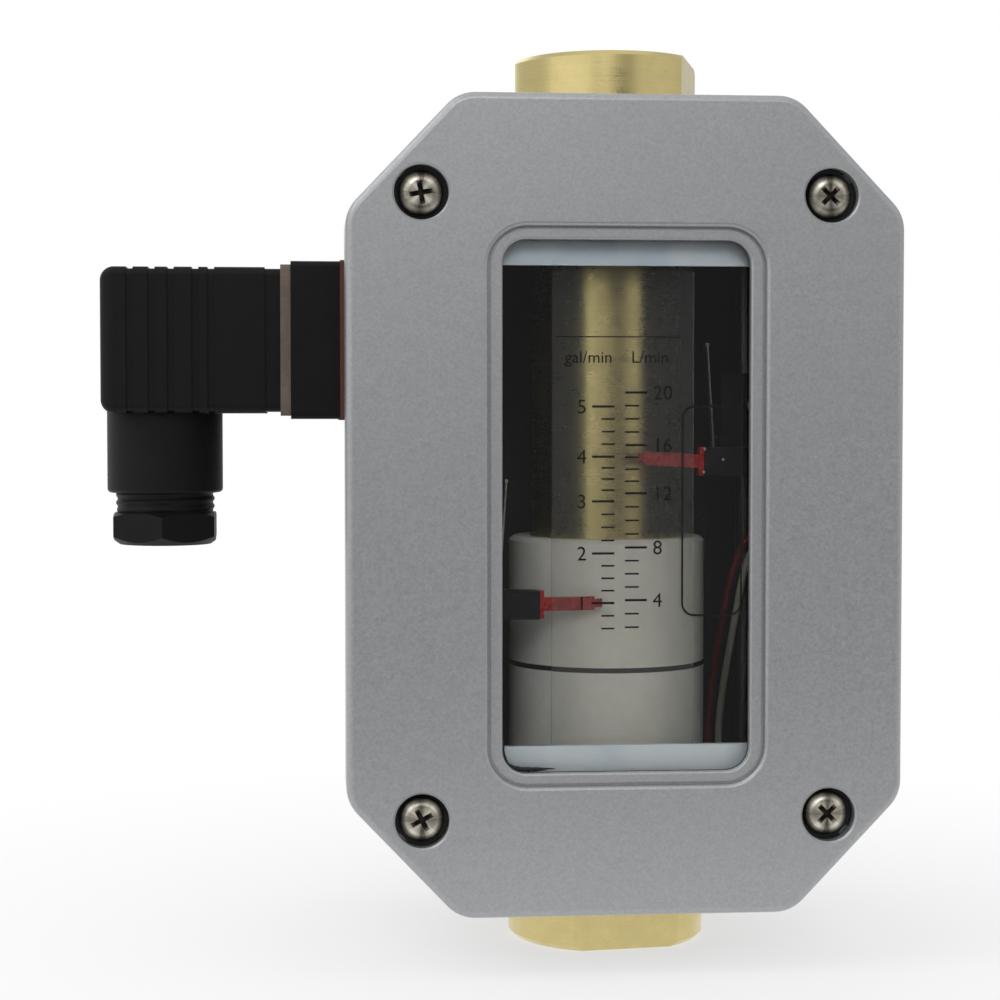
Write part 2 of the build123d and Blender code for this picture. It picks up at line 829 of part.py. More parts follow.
def switch_leads(set_z):
    """The two leads from the terminals, round the web and down to the notch in the lower bracket."""
    middle = carriage_front_y - switch_thickness / 2
    start_x = switch_face_x + switch_height + terminal_length
    leads = []
    for i, height in enumerate(terminal_heights):
        y = middle + terminal_width / 4 - terminal_width / 2 * i
        under_z = set_z - lead_drop_below - 1.5 * i
        mid_z = (under_z + lead_bend_z) / 2
        leads.append(wire([
            (start_x, y, set_z + height),
            (lead_outer_x, y, set_z + height),
            (lead_outer_x, y, set_z - lead_drop_below / 2),
            (lead_drop_x + lead_pitch * i / 2, y + 0.6, under_z),
            (lead_end_x(i) + 1.2, y + 5.0, mid_z),
            (lead_end_x(i), lead_notch_y, lead_bend_z - 3.0),
            (lead_end_x(i), lead_notch_y, lower_plate_top_z),
        ]))
    return Compound(children=leads)


def wire_harness():
    """Four leads from the bracket's notches, under the meter and up the left wall to the contacts."""
    runs = [
        (-lead_end_x(0), 1),
        (-lead_end_x(1), 0),
        (lead_end_x(1), 3),
        (lead_end_x(0), 2),
    ]
    wires = []
    for (start_x, row), (offset_y, offset_z) in zip(runs, contact_places):
        y = harness_front_y + harness_pitch * row
        wires.append(wire([
            (start_x, lead_notch_y, lower_plate_top_z),
            (start_x, lead_notch_y, harness_z),
            (start_x, y, harness_z),
            (harness_corner_x, y, harness_z),
            (harness_x, y, harness_corner_z),
            (harness_x, y, connector_z + offset_z),
            (harness_x, offset_y + contact_sheet / 2, connector_z + offset_z),
        ]))
    return Compound(children=wires)


def front_cover():
    """Cast octagonal cover: a shallow tray with a stepped window surround and screw bosses."""
    body = slab(housing_outline(0), cover_front_y, cover_back_y)
    front = body.faces().sort_by(Axis.Y)[0]
    body = fillet(front.edges(), cover_edge_round)
    hollow = slab(housing_outline(wall), face_inner_y, cover_back_y)
    bosses = Sketch() + [Pos(x, z) * Circle(boss_radius) for x, z in cover_screw_places]
    body -= hollow - slab(bosses, face_inner_y, cover_back_y)
    body += retainer_bosses()
    recess = slab(rounded_plate(surround_half_width, surround_half_height, surround_round),
                  cover_front_y, lip_y)
    body -= recess
    edge_y = cover_front_y + 0.01
    rim = [
        e for e in body.edges()
        if e.bounding_box().max.Y < edge_y and abs(e.center().X - box_x) < surround_half_width + 0.1
        and abs(e.center().Z - box_z) < surround_half_height + 0.1
    ]
    body = fillet(rim, surround_edge_round)
    groove = rounded_plate(surround_half_width, surround_half_height, surround_round)
    groove -= rounded_plate(surround_half_width - groove_width, surround_half_height - groove_width,
                            surround_round - groove_width)
    body -= slab(groove, lip_y, lip_y + groove_depth)
    opening = rounded_plate(opening_half_width, opening_half_height, opening_round)
    body -= slab(opening, cover_front_y, face_inner_y)
    lip = [
        e for e in body.edges()
        if abs(e.bounding_box().max.Y - lip_y) < 0.01 and abs(e.bounding_box().min.Y - lip_y) < 0.01
        and abs(e.center().X - box_x) < opening_half_width + 0.1
        and abs(e.center().Z - box_z) < opening_half_height + 0.1
    ]
    body = fillet(lip, lip_edge_round)
    mouth = Cone(counterbore_radius, counterbore_radius + counterbore_edge, counterbore_edge)
    for x, z in cover_screw_places:
        body -= Pos(box_x + x, cover_front_y + counterbore_edge / 2, box_z + z) * Rot(90, 0, 0) * mouth
        body -= cylinder_y(counterbore_radius, cover_front_y, screw_seat_y, box_x + x, box_z + z)
        body -= cylinder_y(cover_screw_radius + cover_screw_clearance, screw_seat_y, cover_back_y,
                           box_x + x, box_z + z)
    return body


def retainer_places():
    return [(sx * retainer_screw_x, sz * retainer_screw_z) for sx in (-1, 1) for sz in (-1, 1)]


def retainer_bosses():
    """Small bosses beside the glass that the retainer plate is screwed to."""
    bosses = Sketch() + [Pos(x, z) * Circle(retainer_boss_radius) for x, z in retainer_places()]
    holes = Sketch() + [Pos(x, z) * Circle(retainer_screw_radius + screw_fit) for x, z in retainer_places()]
    return slab(bosses - holes, face_inner_y, glass_back_y)


def window_gasket():
    outline = rounded_plate(glass_half_width, glass_half_height, opening_round)
    outline -= rounded_plate(opening_half_width + window_gasket_gap, opening_half_height + window_gasket_gap,
                             opening_round)
    return slab(outline, face_inner_y, glass_front_y)


def window_glass():
    outline = rounded_plate(glass_half_width, glass_half_height, opening_round)
    return slab(outline, glass_front_y, glass_back_y)


def window_retainer():
    """Plated steel frame that clamps the glass from behind."""
    cut = retainer_corner_cut
    outline = octagon(retainer_half_width, retainer_half_height, cut, cut, 1.0)
    outline -= rounded_plate(retainer_opening_half_width, retainer_opening_half_height, 1.0)
    outline -= [Pos(x, z) * Circle(retainer_screw_radius + screw_fit) for x, z in retainer_places()]
    return slab(outline, glass_back_y, glass_back_y + retainer_thickness)


def retainer_screws():
    y = glass_back_y + retainer_thickness
    reach = retainer_thickness + window_gasket_thickness + glass_thickness
    screw = pan_screw(retainer_screw_radius, retainer_screw_head_radius, retainer_screw_head, reach)
    screw -= cross_recess(2.4, 0.6, 0.9, retainer_screw_head)
    return Compound(children=[
        Pos(box_x + x, y, box_z + z) * Rot(-90, 0, 0) * screw for x, z in retainer_places()
    ])


def flow_label():
    outline = Pos(label_x - box_x, label_z - box_z) * rounded_plate(label_half_width, label_half_height,
                                                                   label_round)
    return slab(outline, glass_back_y, glass_back_y + label_thickness)


def cover_gasket():
    outline = housing_outline(gasket_inset) - housing_outline(gasket_width)
    outline += [Pos(x, z) * Circle(boss_radius) for x, z in cover_screw_places]
    outline -= [
        Pos(x, z) * Circle(cover_screw_radius + cover_screw_clearance) for x, z in cover_screw_places
    ]
    return slab(outline, cover_back_y, housing_front_y)


def rear_housing():
    """Deep cast box, closed behind, bored for the pipe above and below and for the connector."""
    body = slab(housing_outline(housing_inset), housing_front_y, housing_back_y)
    back = body.faces().sort_by(Axis.Y)[-1]
    body = fillet(back.edges(), housing_edge_round)
    inner_back_y = housing_back_y - wall
    hollow = slab(housing_outline(housing_inset + wall), housing_front_y, inner_back_y)
    bosses = Sketch() + [Pos(x, z) * Circle(boss_radius) for x, z in cover_screw_places]
    body -= hollow - slab(bosses, housing_front_y, housing_front_y + boss_depth)
    hole = port_radius + wall_seal_width
    bottom_z = box_z - housing_half_height
    top_z = box_z + housing_half_height
    body -= cylinder_z(hole, bottom_z - 1, bottom_z + wall + 1)
    body -= cylinder_z(hole, top_z - wall - 1, top_z + 1)
    body -= cylinder_x(wall_hole_radius, wall_x - 1, wall_x + wall + 1, 0, connector_z)
    for y, z in base_screw_places():
        body -= cylinder_x(base_screw_radius + screw_fit, wall_x - 1, wall_x + wall + 1, y, z)
    for x, z in cover_screw_places:
        body -= cylinder_y(cover_screw_radius + screw_fit, housing_front_y,
                           housing_front_y + boss_depth, box_x + x, box_z + z)
    return body


def pipe_wall_seals():
    """Rubber rings between the pipe and the housing's walls, each with a lip on both sides."""
    seals = []
    hole = port_radius + wall_seal_width
    inner = port_radius + wall_seal_gap
    for z0 in (box_z - housing_half_height, box_z + housing_half_height - wall):
        z1 = z0 + wall
        lip = hole + wall_seal_lip_radius
        seals.append(turned([
            (inner, z0 - wall_seal_lip),
            (lip, z0 - wall_seal_lip),
            (lip, z0),
            (hole, z0),
            (hole, z1),
            (lip, z1),
            (lip, z1 + wall_seal_lip),
            (inner, z1 + wall_seal_lip),
        ]))
    return Compound(children=seals)


def cover_screws():
    screw = pan_screw(cover_screw_radius, cover_screw_head_radius, cover_screw_head, cover_screw_reach)
    screw -= cross_recess(cross_span, cross_width, cross_depth, cover_screw_head)
    return Compound(children=[
        facing_front(screw, box_x + x, screw_seat_y, box_z + z, turn)
        for (x, z), turn in zip(cover_screw_places, cross_turns)
    ])


def base_screw_places():
    offset = base_screw_offset
    return [(sy * offset, connector_z + sz * offset) for sy in (-1, 1) for sz in (-1, 1)]


def side_slab(half_width, half_height, x0, x1, corner=0.6):
    """A rounded square plate on the connector's axis."""
    outline = RectangleRounded(2 * half_width, 2 * half_height, corner)
    plane = Plane(origin=(x0, 0, connector_z), x_dir=(0, 1, 0), z_dir=(1, 0, 0))
    return extrude(plane * outline, x1 - x0)


def wall_gasket():
    body = side_slab(base_half_width + 0.2, base_half_height + 0.2, base_inner_x, wall_x)
    body -= cylinder_x(wall_hole_radius, base_inner_x, wall_x, 0, connector_z)
    for y, z in base_screw_places():
        body -= cylinder_x(base_screw_radius + screw_fit, base_inner_x, wall_x, y, z)
    return body


def contact_blade(y, z, x0, x1, gap=0.0):
    """One blade outside the base, flat across the line from the axis."""
    half_sheet = contact_sheet / 2 + gap
    half_width = contact_width / 2 + gap
    if y == 0:
        return block(x0, x1, -half_width, half_width, connector_z + z - half_sheet,
                     connector_z + z + half_sheet)
    return block(x0, x1, y - half_sheet, y + half_sheet, connector_z - half_width,
                 connector_z + half_width)


def contact_tail(y, z, x0, x1, gap=0.0):
    half_sheet = contact_sheet / 2 + gap
    half_width = tail_width / 2 + gap
    return block(x0, x1, y - half_sheet, y + half_sheet, connector_z + z - half_width,
                 connector_z + z + half_width)


def connector_base():
    body = side_slab(base_half_width, base_half_height, base_outer_x, base_inner_x, base_edge)
    middle = (base_outer_x + base_inner_x) / 2
    for y, z in contact_places:
        body -= contact_blade(y, z, base_outer_x - 1, middle)
        body -= contact_tail(y, z, middle, base_inner_x + 1)
    for y, z in base_screw_places():
        body -= cylinder_x(base_screw_radius + screw_fit, base_outer_x, base_inner_x, y, z)
        body -= cylinder_x(base_screw_head_radius + screw_fit, base_outer_x, base_outer_x + base_screw_head,
                           y, z)
    body -= cylinder_x(plug_screw_radius + screw_fit, base_outer_x, base_inner_x - 2.0, 0, connector_z)
    return body


def contact_pins():
    """Four contacts: a wide blade towards the plug and a narrow tail through the housing's wall."""
    middle = (base_outer_x + base_inner_x) / 2
    tail_end = wall_x + contact_in
    return Compound(children=[
        contact_blade(y, z, base_outer_x - contact_out, middle) + contact_tail(y, z, middle, tail_end)
        for y, z in contact_places
    ])


def base_screws():
    seat = base_outer_x + base_screw_head
    reach = wall_x + base_screw_reach - seat
    screw = pan_screw(base_screw_radius, base_screw_head_radius, base_screw_head, reach)
    screw -= cross_recess(2.4, 0.6, 0.8, base_screw_head)
    return Compound(children=[Pos(seat, y, z) * Rot(0, -90, 0) * screw for y, z in base_screw_places()])


def plug_gasket():
    inset = plug_gasket_inset
    body = side_slab(base_half_width - inset, base_half_height - inset, plug_inner_x, base_outer_x, base_edge)
    opening = plug_half_width - plug_wall
    return body - side_slab(opening, opening, plug_inner_x, base_outer_x, base_edge)


def plug_housing():
    """Angled plug shell: a ribbed square body, open towards the base, with a round neck below it."""
    body = side_slab(plug_half_width, plug_half_height, plug_outer_x, plug_inner_x, 1.4)
    end = body.faces().sort_by(Axis.X)[0]
    body = fillet(end.edges(), plug_corner_round)
    body += cylinder_z(neck_radius, neck_bottom_z, connector_z, gland_x, 0)
    foot = body.faces().sort_by(Axis.Z)[0]
    body = fillet(foot.edges(), neck_foot_round)
    step = side_slab(plug_half_width + 1, plug_half_height + 1, plug_inner_x - plug_step_length, plug_inner_x)
    step -= side_slab(plug_half_width - plug_step, plug_half_height - plug_step,
                      plug_inner_x - plug_step_length, plug_inner_x, 1.2)
    body -= step
    for place in plug_rib_places:
        x0 = plug_outer_x + place - plug_rib_width / 2
        x1 = x0 + plug_rib_width
        band = side_slab(plug_half_width + 1, plug_half_height + 1, x0, x1)
        band -= side_slab(plug_half_width - plug_rib_depth, plug_half_height - plug_rib_depth, x0, x1, 1.2)
        body -= band - cylinder_z(neck_radius, neck_bottom_z, connector_z - plug_half_height + 1, gland_x, 0)
    half = plug_half_width - plug_wall
    cavity_x = plug_outer_x + plug_wall + plug_screw_head + plug_screw_sunk
    body -= side_slab(half, half, cavity_x, plug_inner_x)
    thread_top = neck_bottom_z + gland_thread_inside + gland_seal_length
    body -= cylinder_z(gland_thread_radius + screw_fit, neck_bottom_z, thread_top, gland_x, 0)
    body -= cylinder_z(gland_bore_radius + 1.5, thread_top, connector_z, gland_x, 0)
    body -= cylinder_x(plug_screw_radius + 0.2, plug_outer_x, cavity_x + 1, 0, connector_z)
    body -= cylinder_x(plug_screw_head_radius + 0.3, plug_outer_x - 1,
                       plug_outer_x + plug_screw_sunk + plug_screw_head, 0, connector_z)
    return body


def terminal_insert():
    """Contact carrier in the plug, slotted for the four blades."""
    x1 = base_outer_x - insert_gap
    x0 = x1 - insert_length
    half = insert_half_width
    body = side_slab(half, half, x0, x1, 1.0)
    for y, z in contact_places:
        body -= contact_blade(y, z, base_outer_x - contact_out - 0.5, x1 + 1, contact_slot_gap)
    return body - cylinder_x(plug_screw_radius + 0.2, x0, x1, 0, connector_z)


def plug_screw():
    seat = plug_outer_x + plug_screw_sunk + plug_screw_head
    reach = base_inner_x - 3.0 - seat
    head = cylinder_z(plug_screw_head_radius, 0, plug_screw_head)
    rim = head.edges().filter_by(GeomType.CIRCLE).sort_by(Axis.Z)[-1]
    head = chamfer(rim, 0.4) - block(-4, 4, -0.5, 0.5, plug_screw_head - 1.1, plug_screw_head)
    screw = head + cylinder_z(plug_screw_radius, -reach, 0)
    return Pos(seat, 0, connector_z) * Rot(0, -90, 0) * screw


def gland_seal():
    z0 = neck_bottom_z + gland_thread_inside
    outer = gland_thread_radius - 0.1
    body = cylinder_z(outer, z0, z0 + gland_seal_length, gland_x, 0)
    return body - cylinder_z(gland_seal_bore_radius, z0, z0 + gland_seal_length, gland_x, 0)


def gland_screw():
    """Compression screw under the neck: hexagon head, plain shank in place of the thread."""
    head = hexagon_z(gland_head_across_flats, gland_bottom_z, gland_head_top_z, gland_x, 0, nut_turn)
    corner = gland_head_across_flats / math.sqrt(3)
    crown = turned([
        (0, gland_bottom_z),
        (gland_head_across_flats / 2 - 0.8, gland_bottom_z),
        (corner, gland_bottom_z + 1.6),
        (corner, gland_head_top_z - 0.7),
        (corner - 1.2, gland_head_top_z),
        (0, gland_head_top_z),
    ])
    head = head & (Pos(gland_x, 0, 0) * crown)
    shank = cylinder_z(gland_thread_radius, gland_head_top_z, neck_bottom_z + gland_thread_inside, gland_x, 0)
    return (head + shank) - cylinder_z(gland_bore_radius, gland_bottom_z,
                                       neck_bottom_z + gland_thread_inside, gland_x, 0)


def mirrored(piece):
    """The piece on the other side of the pipe, solid by solid."""
    solids = [mirror(solid, about=Plane.YZ) for solid in piece.solids()]
    return Compound(children=solids) if len(solids) > 1 else solids[0]


def set_point_parts(side, set_z, reach, tilt):
    """The pieces of one set point, on the right as built, or mirrored to the left."""
    pieces = {
        "carriage": carriage(set_z),
        "pointer": pointer(set_z, reach, tilt),
        "switch_case": switch_case(set_z),
        "switch_screws": switch_screws(set_z),
        "switch_terminals": switch_terminals(set_z),
        "switch_lever": switch_lever(set_z),
        "switch_plunger": switch_plunger(set_z),
        "lock_screw": lock_screw(set_z),
        "switch_leads": switch_leads(set_z),
    }
    if side < 0:
        return {name: mirrored(piece) for name, piece in pieces.items()}
    return pieces


parts = {
    "pressure_casing": pressure_casing(),
    "outlet_fitting": outlet_fitting(),
    "outlet_oring": outlet_oring(),
    "lower_spider": spider(casing_bore_radius - spider_clearance, spider_seat_z),
    "upper_spider": upper_spider(),
    "metering_cone": metering_cone(),
    "orifice_disc": orifice_disc(),
    "piston_sleeve": piston_sleeve(),
    "transfer_magnet": transfer_magnet(),
    "magnet_retainer": magnet_retainer(),
    "return_spring": return_spring(),
    "follower_sleeve": follower_sleeve(),
    "follower_magnet": follower_magnet(),
    "index_band": index_band(),
    "lower_bracket": lower_bracket(),
    "upper_bracket": upper_bracket(),
    "guide_rods": guide_rods(),
    "rod_nuts": rod_nuts(),
    "scale_strip": scale_strip(),
    "scale_screws": scale_screws(),
    "front_cover": front_cover(),
    "window_gasket": window_gasket(),
    "window_glass": window_glass(),
    "window_retainer": window_retainer(),
    "retainer_screws": retainer_screws(),
    "flow_label": flow_label(),
    "cover_gasket": cover_gasket(),
    "rear_housing": rear_housing(),
    "pipe_wall_seals": pipe_wall_seals(),
    "cover_screws": cover_screws(),
    "wall_gasket": wall_gasket(),
    "connector_base": connector_base(),
    "contact_pins": contact_pins(),
    "base_screws": base_screws(),
    "plug_gasket": plug_gasket(),
    "plug_housing": plug_housing(),
    "terminal_insert": terminal_insert(),
    "plug_screw": plug_screw(),
    "gland_seal": gland_seal(),
    "gland_screw": gland_screw(),
    "wire_harness": wire_harness(),
}
low_parts = set_point_parts(-1, low_set_z, low_pointer_reach, low_pointer_tilt)
high_parts = set_point_parts(1, high_set_z, high_pointer_reach, high_pointer_tilt)
parts.update({f"low_{name}": piece for name, piece in low_parts.items()})
parts.update({f"high_{name}": piece for name, piece in high_parts.items()})

os.makedirs("parts", exist_ok=True)
for name, piece in parts.items():
    export_step(piece, f"parts/{name}.step")
    print(name, round(piece.volume, 1))
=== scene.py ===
import json
import math

import bmesh
import bpy
import numpy as np
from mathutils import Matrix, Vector

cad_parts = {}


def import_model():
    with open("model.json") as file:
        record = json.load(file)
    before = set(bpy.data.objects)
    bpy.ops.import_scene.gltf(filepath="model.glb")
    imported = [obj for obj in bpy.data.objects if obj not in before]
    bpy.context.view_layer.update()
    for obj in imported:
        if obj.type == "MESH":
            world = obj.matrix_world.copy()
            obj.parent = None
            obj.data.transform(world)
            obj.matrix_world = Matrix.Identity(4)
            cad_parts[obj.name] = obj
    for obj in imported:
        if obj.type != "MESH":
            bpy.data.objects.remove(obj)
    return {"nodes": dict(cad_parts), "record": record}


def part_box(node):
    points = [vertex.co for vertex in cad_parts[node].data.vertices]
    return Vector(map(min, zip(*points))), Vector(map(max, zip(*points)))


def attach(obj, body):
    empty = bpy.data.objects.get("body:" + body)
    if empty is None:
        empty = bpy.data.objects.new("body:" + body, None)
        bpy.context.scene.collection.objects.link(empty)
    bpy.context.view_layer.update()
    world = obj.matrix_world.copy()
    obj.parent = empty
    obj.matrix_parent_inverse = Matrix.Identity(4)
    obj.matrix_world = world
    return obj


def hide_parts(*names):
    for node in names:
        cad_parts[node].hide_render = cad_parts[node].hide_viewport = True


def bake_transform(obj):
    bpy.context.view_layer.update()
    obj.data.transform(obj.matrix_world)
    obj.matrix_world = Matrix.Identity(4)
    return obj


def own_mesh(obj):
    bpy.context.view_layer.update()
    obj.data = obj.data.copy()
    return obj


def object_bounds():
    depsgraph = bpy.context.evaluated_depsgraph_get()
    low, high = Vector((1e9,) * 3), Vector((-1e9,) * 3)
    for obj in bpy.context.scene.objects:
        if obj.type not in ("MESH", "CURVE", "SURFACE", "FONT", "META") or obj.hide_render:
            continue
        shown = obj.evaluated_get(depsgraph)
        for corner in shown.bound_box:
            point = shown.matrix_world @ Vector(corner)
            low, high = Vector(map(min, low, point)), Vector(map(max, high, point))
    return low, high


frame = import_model()
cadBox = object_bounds()
nodes = frame["nodes"]
print("frame loaded:", len(nodes), "nodes")

mm = 0.001


# colours are written as they look on screen, 0 to 255, and turned into linear values here
def shade(r, g, b):
    c = np.array([r, g, b], float) / 255
    linear = np.where(c <= 0.04045, c / 12.92, ((c + 0.055) / 1.055) ** 2.4)
    return (*linear.tolist(), 1.0)


# inputs of a node by name or number: a socket is linked to the input, anything else is its fixed value
def connect(tree, node, sockets):
    for key, value in sockets.items():
        if isinstance(value, bpy.types.NodeSocket):
            tree.links.new(value, node.inputs[key])
        else:
            node.inputs[key].default_value = value
    return node


# one new node with its settings and its inputs
def add(tree, kind, sockets=None, **settings):
    made = tree.nodes.new(kind)
    for key, value in settings.items():
        setattr(made, key, value)
    return connect(tree, made, sockets or {})


# one operation on numbers, and below it one on vectors
def maths(tree, operation, a, b=0.0):
    return add(tree, "ShaderNodeMath", {0: a, 1: b}, operation=operation).outputs[0]


def vectorMaths(tree, operation, a, b=(0.0, 0.0, 0.0)):
    return add(tree, "ShaderNodeVectorMath", {0: a, 1: b}, operation=operation).outputs


# X, Y and Z of a vector
def split(tree, vector):
    return add(tree, "ShaderNodeSeparateXYZ", {0: vector}).outputs


# base plus a share of more
def plus(tree, base, more, share):
    return maths(tree, "ADD", base, maths(tree, "MULTIPLY", more, share))


# the range low to high carried onto toLow to toHigh, held at its ends
def remap(tree, value, low, high, toLow, toHigh):
    sockets = {"Value": value, "From Min": low, "From Max": high, "To Min": toLow, "To Max": toHigh}
    return add(tree, "ShaderNodeMapRange", sockets).outputs["Result"]


noiseLow, noiseHigh = 0.3, 0.7  # layered noise seldom leaves this range


def spread(tree, noise, low, high):
    return remap(tree, noise, noiseLow, noiseHigh, low, high)


def mixColour(tree, factor, a, b):
    return add(tree, "ShaderNodeMix", {0: factor, 6: a, 7: b}, data_type="RGBA").outputs[2]


# colour between the two tones of a look
def toned(tree, factor, look):
    first, second = look["tones"]
    return mixColour(tree, factor, shade(*first), shade(*second))


# empty node group with a Vector and some numbers as inputs: its tree, what it is given, and its output node
def newGroup(name, numbers, outputs):
    tree = bpy.data.node_groups.new(name, "ShaderNodeTree")
    tree.interface.new_socket("Vector", in_out="INPUT", socket_type="NodeSocketVector")
    for label, value in numbers.items():
        socket = tree.interface.new_socket(label, in_out="INPUT", socket_type="NodeSocketFloat")
        socket.default_value = value
    for label in outputs:
        tree.interface.new_socket(label, in_out="OUTPUT", socket_type="NodeSocketFloat")
    start = tree.nodes.new("NodeGroupInput")
    return tree, start.outputs, tree.nodes.new("NodeGroupOutput")


# fine uneven grain: layered noise, spread between Low and High, with the bare noise as a height
def grainGroup():
    tree, given, result = newGroup("grain", {"Scale": 900.0, "Low": 0.3, "High": 0.5}, ["Value", "Height"])
    noise = add(tree, "ShaderNodeTexNoise", {"Vector": given["Vector"], "Scale": given["Scale"],
                                             "Detail": 4.0, "Roughness": 0.62}).outputs["Fac"]
    connect(tree, result, {"Value": spread(tree, noise, given["Low"], given["High"]), "Height": noise})
    return tree


# lathe lines round the Z axis: noise that changes only with the height and the radius
def latheGroup():
    tree, given, result = newGroup("latheLines", {"Lines": 4000.0}, ["Value"])
    parts = split(tree, given["Vector"])
    squares = [maths(tree, "MULTIPLY", parts[axis], parts[axis]) for axis in ("X", "Y")]
    radius = maths(tree, "SQRT", maths(tree, "ADD", *squares))
    place = add(tree, "ShaderNodeCombineXYZ", {"X": radius, "Z": parts["Z"]}).outputs[0]
    noise = add(tree, "ShaderNodeTexNoise", {"Vector": place, "Scale": given["Lines"],
                                             "Detail": 2.0, "Roughness": 0.7})
    connect(tree, result, {"Value": noise.outputs["Fac"]})
    return tree


# the second blotch is finer by a factor; the product of both is spread from this range
smudge = {"finer": 7.0, "from": 0.18, "to": 0.36}


# handling marks: two sizes of soft blotch, pushed apart so that only parts of the surface show them
def smudgeGroup():
    tree, given, result = newGroup("smudges", {"Scale": 60.0, "Amount": 0.5}, ["Mask"])
    large = add(tree, "ShaderNodeTexNoise", {"Vector": given["Vector"], "Scale": given["Scale"],
                                             "Detail": 3.0, "Distortion": 0.6})
    finer = maths(tree, "MULTIPLY", given["Scale"], smudge["finer"])
    small = add(tree, "ShaderNodeTexNoise", {"Vector": given["Vector"], "Scale": finer, "Detail": 5.0})
    both = maths(tree, "MULTIPLY", large.outputs["Fac"], small.outputs["Fac"])
    mask = remap(tree, both, smudge["from"], smudge["to"], 0.0, 1.0)
    connect(tree, result, {"Mask": maths(tree, "MULTIPLY", mask, given["Amount"])})
    return tree


# flakes: each small cell has a brightness of its own
def flakeGroup():
    tree, given, result = newGroup("flakes", {"Scale": 3000.0}, ["Value", "Height"])
    cells = add(tree, "ShaderNodeTexVoronoi", {"Vector": given["Vector"], "Scale": given["Scale"]}).outputs
    tones = add(tree, "ShaderNodeSeparateColor", {0: cells["Color"]}).outputs
    connect(tree, result, {"Value": tones[0], "Height": cells["Distance"]})
    return tree


groups = {"grain": grainGroup(), "lathe": latheGroup(), "smudge": smudgeGroup(), "flake": flakeGroup()}


# a shared group in a material, and the two that most of them use
def grouped(tree, name, sockets):
    return add(tree, "ShaderNodeGroup", sockets, node_tree=groups[name]).outputs


def grained(tree, place, perMetre, low, high):
    return grouped(tree, "grain", {"Vector": place, "Scale": perMetre, "Low": low, "High": high})


def smudged(tree, place, perMetre, amount):
    return grouped(tree, "smudge", {"Vector": place, "Scale": perMetre, "Amount": amount})["Mask"]


# a material with its Principled shader and the object's own coordinates
def newMaterial(name):
    material = bpy.data.materials.new(name)
    material.use_nodes = True
    tree = material.node_tree
    place = add(tree, "ShaderNodeTexCoord").outputs["Object"]
    return material, tree, tree.nodes["Principled BSDF"], place


# height as fine relief on the shader's normal
def bump(tree, shader, height, strength, distance):
    made = add(tree, "ShaderNodeBump", {"Height": height, "Strength": strength, "Distance": distance})
    connect(tree, shader, {"Normal": made.outputs[0]})


# in a look, tones are its two colours, rough its range of roughness, marks their blotches per metre and
# amount, bump its strength and depth
paint = {
    # the inside tone is painted shade: the dark colour of the castings' inner faces, where the housing is
    # in shade
    "tones": ((157, 158, 160), (173, 174, 176)), "insideShade": (58, 60, 60),
    "flakesPerMetre": 3000.0, "flakeRelief": 0.1, "peelPerMetre": 1600.0, "rough": (0.4, 0.5),
    "insideRougher": 0.4, "metallic": 0.75, "coat": 0.3, "coatRough": 0.22, "specular": 0.15,
    "bump": (0.3, 0.04 * mm), "insideDepth": 1.6 * mm, "faceDepth": 2.2 * mm,
    "cutX": 20.0, "cutZ": 21.0, "slantIn": 14.03 * mm,
}


# painted shade mask, 1 on the inner faces of the castings, where the housing is in shade: nearer the middle
# than the walls, the slanted ones too, and behind the face of the cover
def insideShadeMask(tree, place):
    low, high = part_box("rear_housing")
    middle = (low + high) / 2
    half = (high - low) / 2
    depth = paint["insideDepth"]
    offset = vectorMaths(tree, "SUBTRACT", place, (middle.x, 0.0, middle.z))["Vector"]
    part = split(tree, vectorMaths(tree, "ABSOLUTE", offset)["Vector"])
    depthways = split(tree, place)["Y"]
    slope = math.hypot(paint["cutX"], paint["cutZ"])
    slant = maths(tree, "ADD", maths(tree, "MULTIPLY", part["X"], paint["cutZ"] / slope),
                  maths(tree, "MULTIPLY", part["Z"], paint["cutX"] / slope))
    reach = (half.x * paint["cutZ"] + half.z * paint["cutX"]) / slope - paint["slantIn"]
    mask = maths(tree, "GREATER_THAN", depthways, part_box("front_cover")[0].y + paint["faceDepth"])
    for value, limit in ((part["X"], half.x), (part["Z"], half.z), (slant, reach), (depthways, high.y)):
        mask = maths(tree, "MULTIPLY", mask, maths(tree, "LESS_THAN", value, limit - depth))
    return mask


# metallic grey stove paint: flakes and a fine orange peel; the castings' inner faces get a painted shade,
# dark and dull
def housingPaint():
    material, tree, shader, place = newMaterial("housingPaint")
    flakes = grouped(tree, "flake", {"Vector": place, "Scale": paint["flakesPerMetre"]})
    peel = grained(tree, place, paint["peelPerMetre"], *paint["rough"])
    both = maths(tree, "ADD", flakes["Value"], spread(tree, peel["Height"], 0.0, 1.0))
    colour = toned(tree, maths(tree, "MULTIPLY", both, 0.5), paint)
    # painted shade: the inner faces of the castings take the dark inside tone
    mask = insideShadeMask(tree, place)
    outside = maths(tree, "SUBTRACT", 1.0, mask)
    connect(tree, shader, {
        "Base Color": mixColour(tree, mask, colour, shade(*paint["insideShade"])),
        "Roughness": plus(tree, peel["Value"], mask, paint["insideRougher"]),
        "Metallic": maths(tree, "MULTIPLY", outside, paint["metallic"]),
        "Coat Weight": maths(tree, "MULTIPLY", outside, paint["coat"]),
        "Coat Roughness": paint["coatRough"],
        "Specular IOR Level": paint["specular"],
    })
    bump(tree, shader, plus(tree, peel["Height"], flakes["Height"], paint["flakeRelief"]), *paint["bump"])
    return material


brass = {
    "tones": ((193, 178, 122), (208, 192, 136)), "toneRange": (0.35, 0.95), "rough": (0.24, 0.28),
    "linesPerMetre": 5200.0, "marks": (55.0, 0.6), "marksDarker": 0.35, "marksRougher": 0.1,
    "bump": (0.03, 0.01 * mm),
}


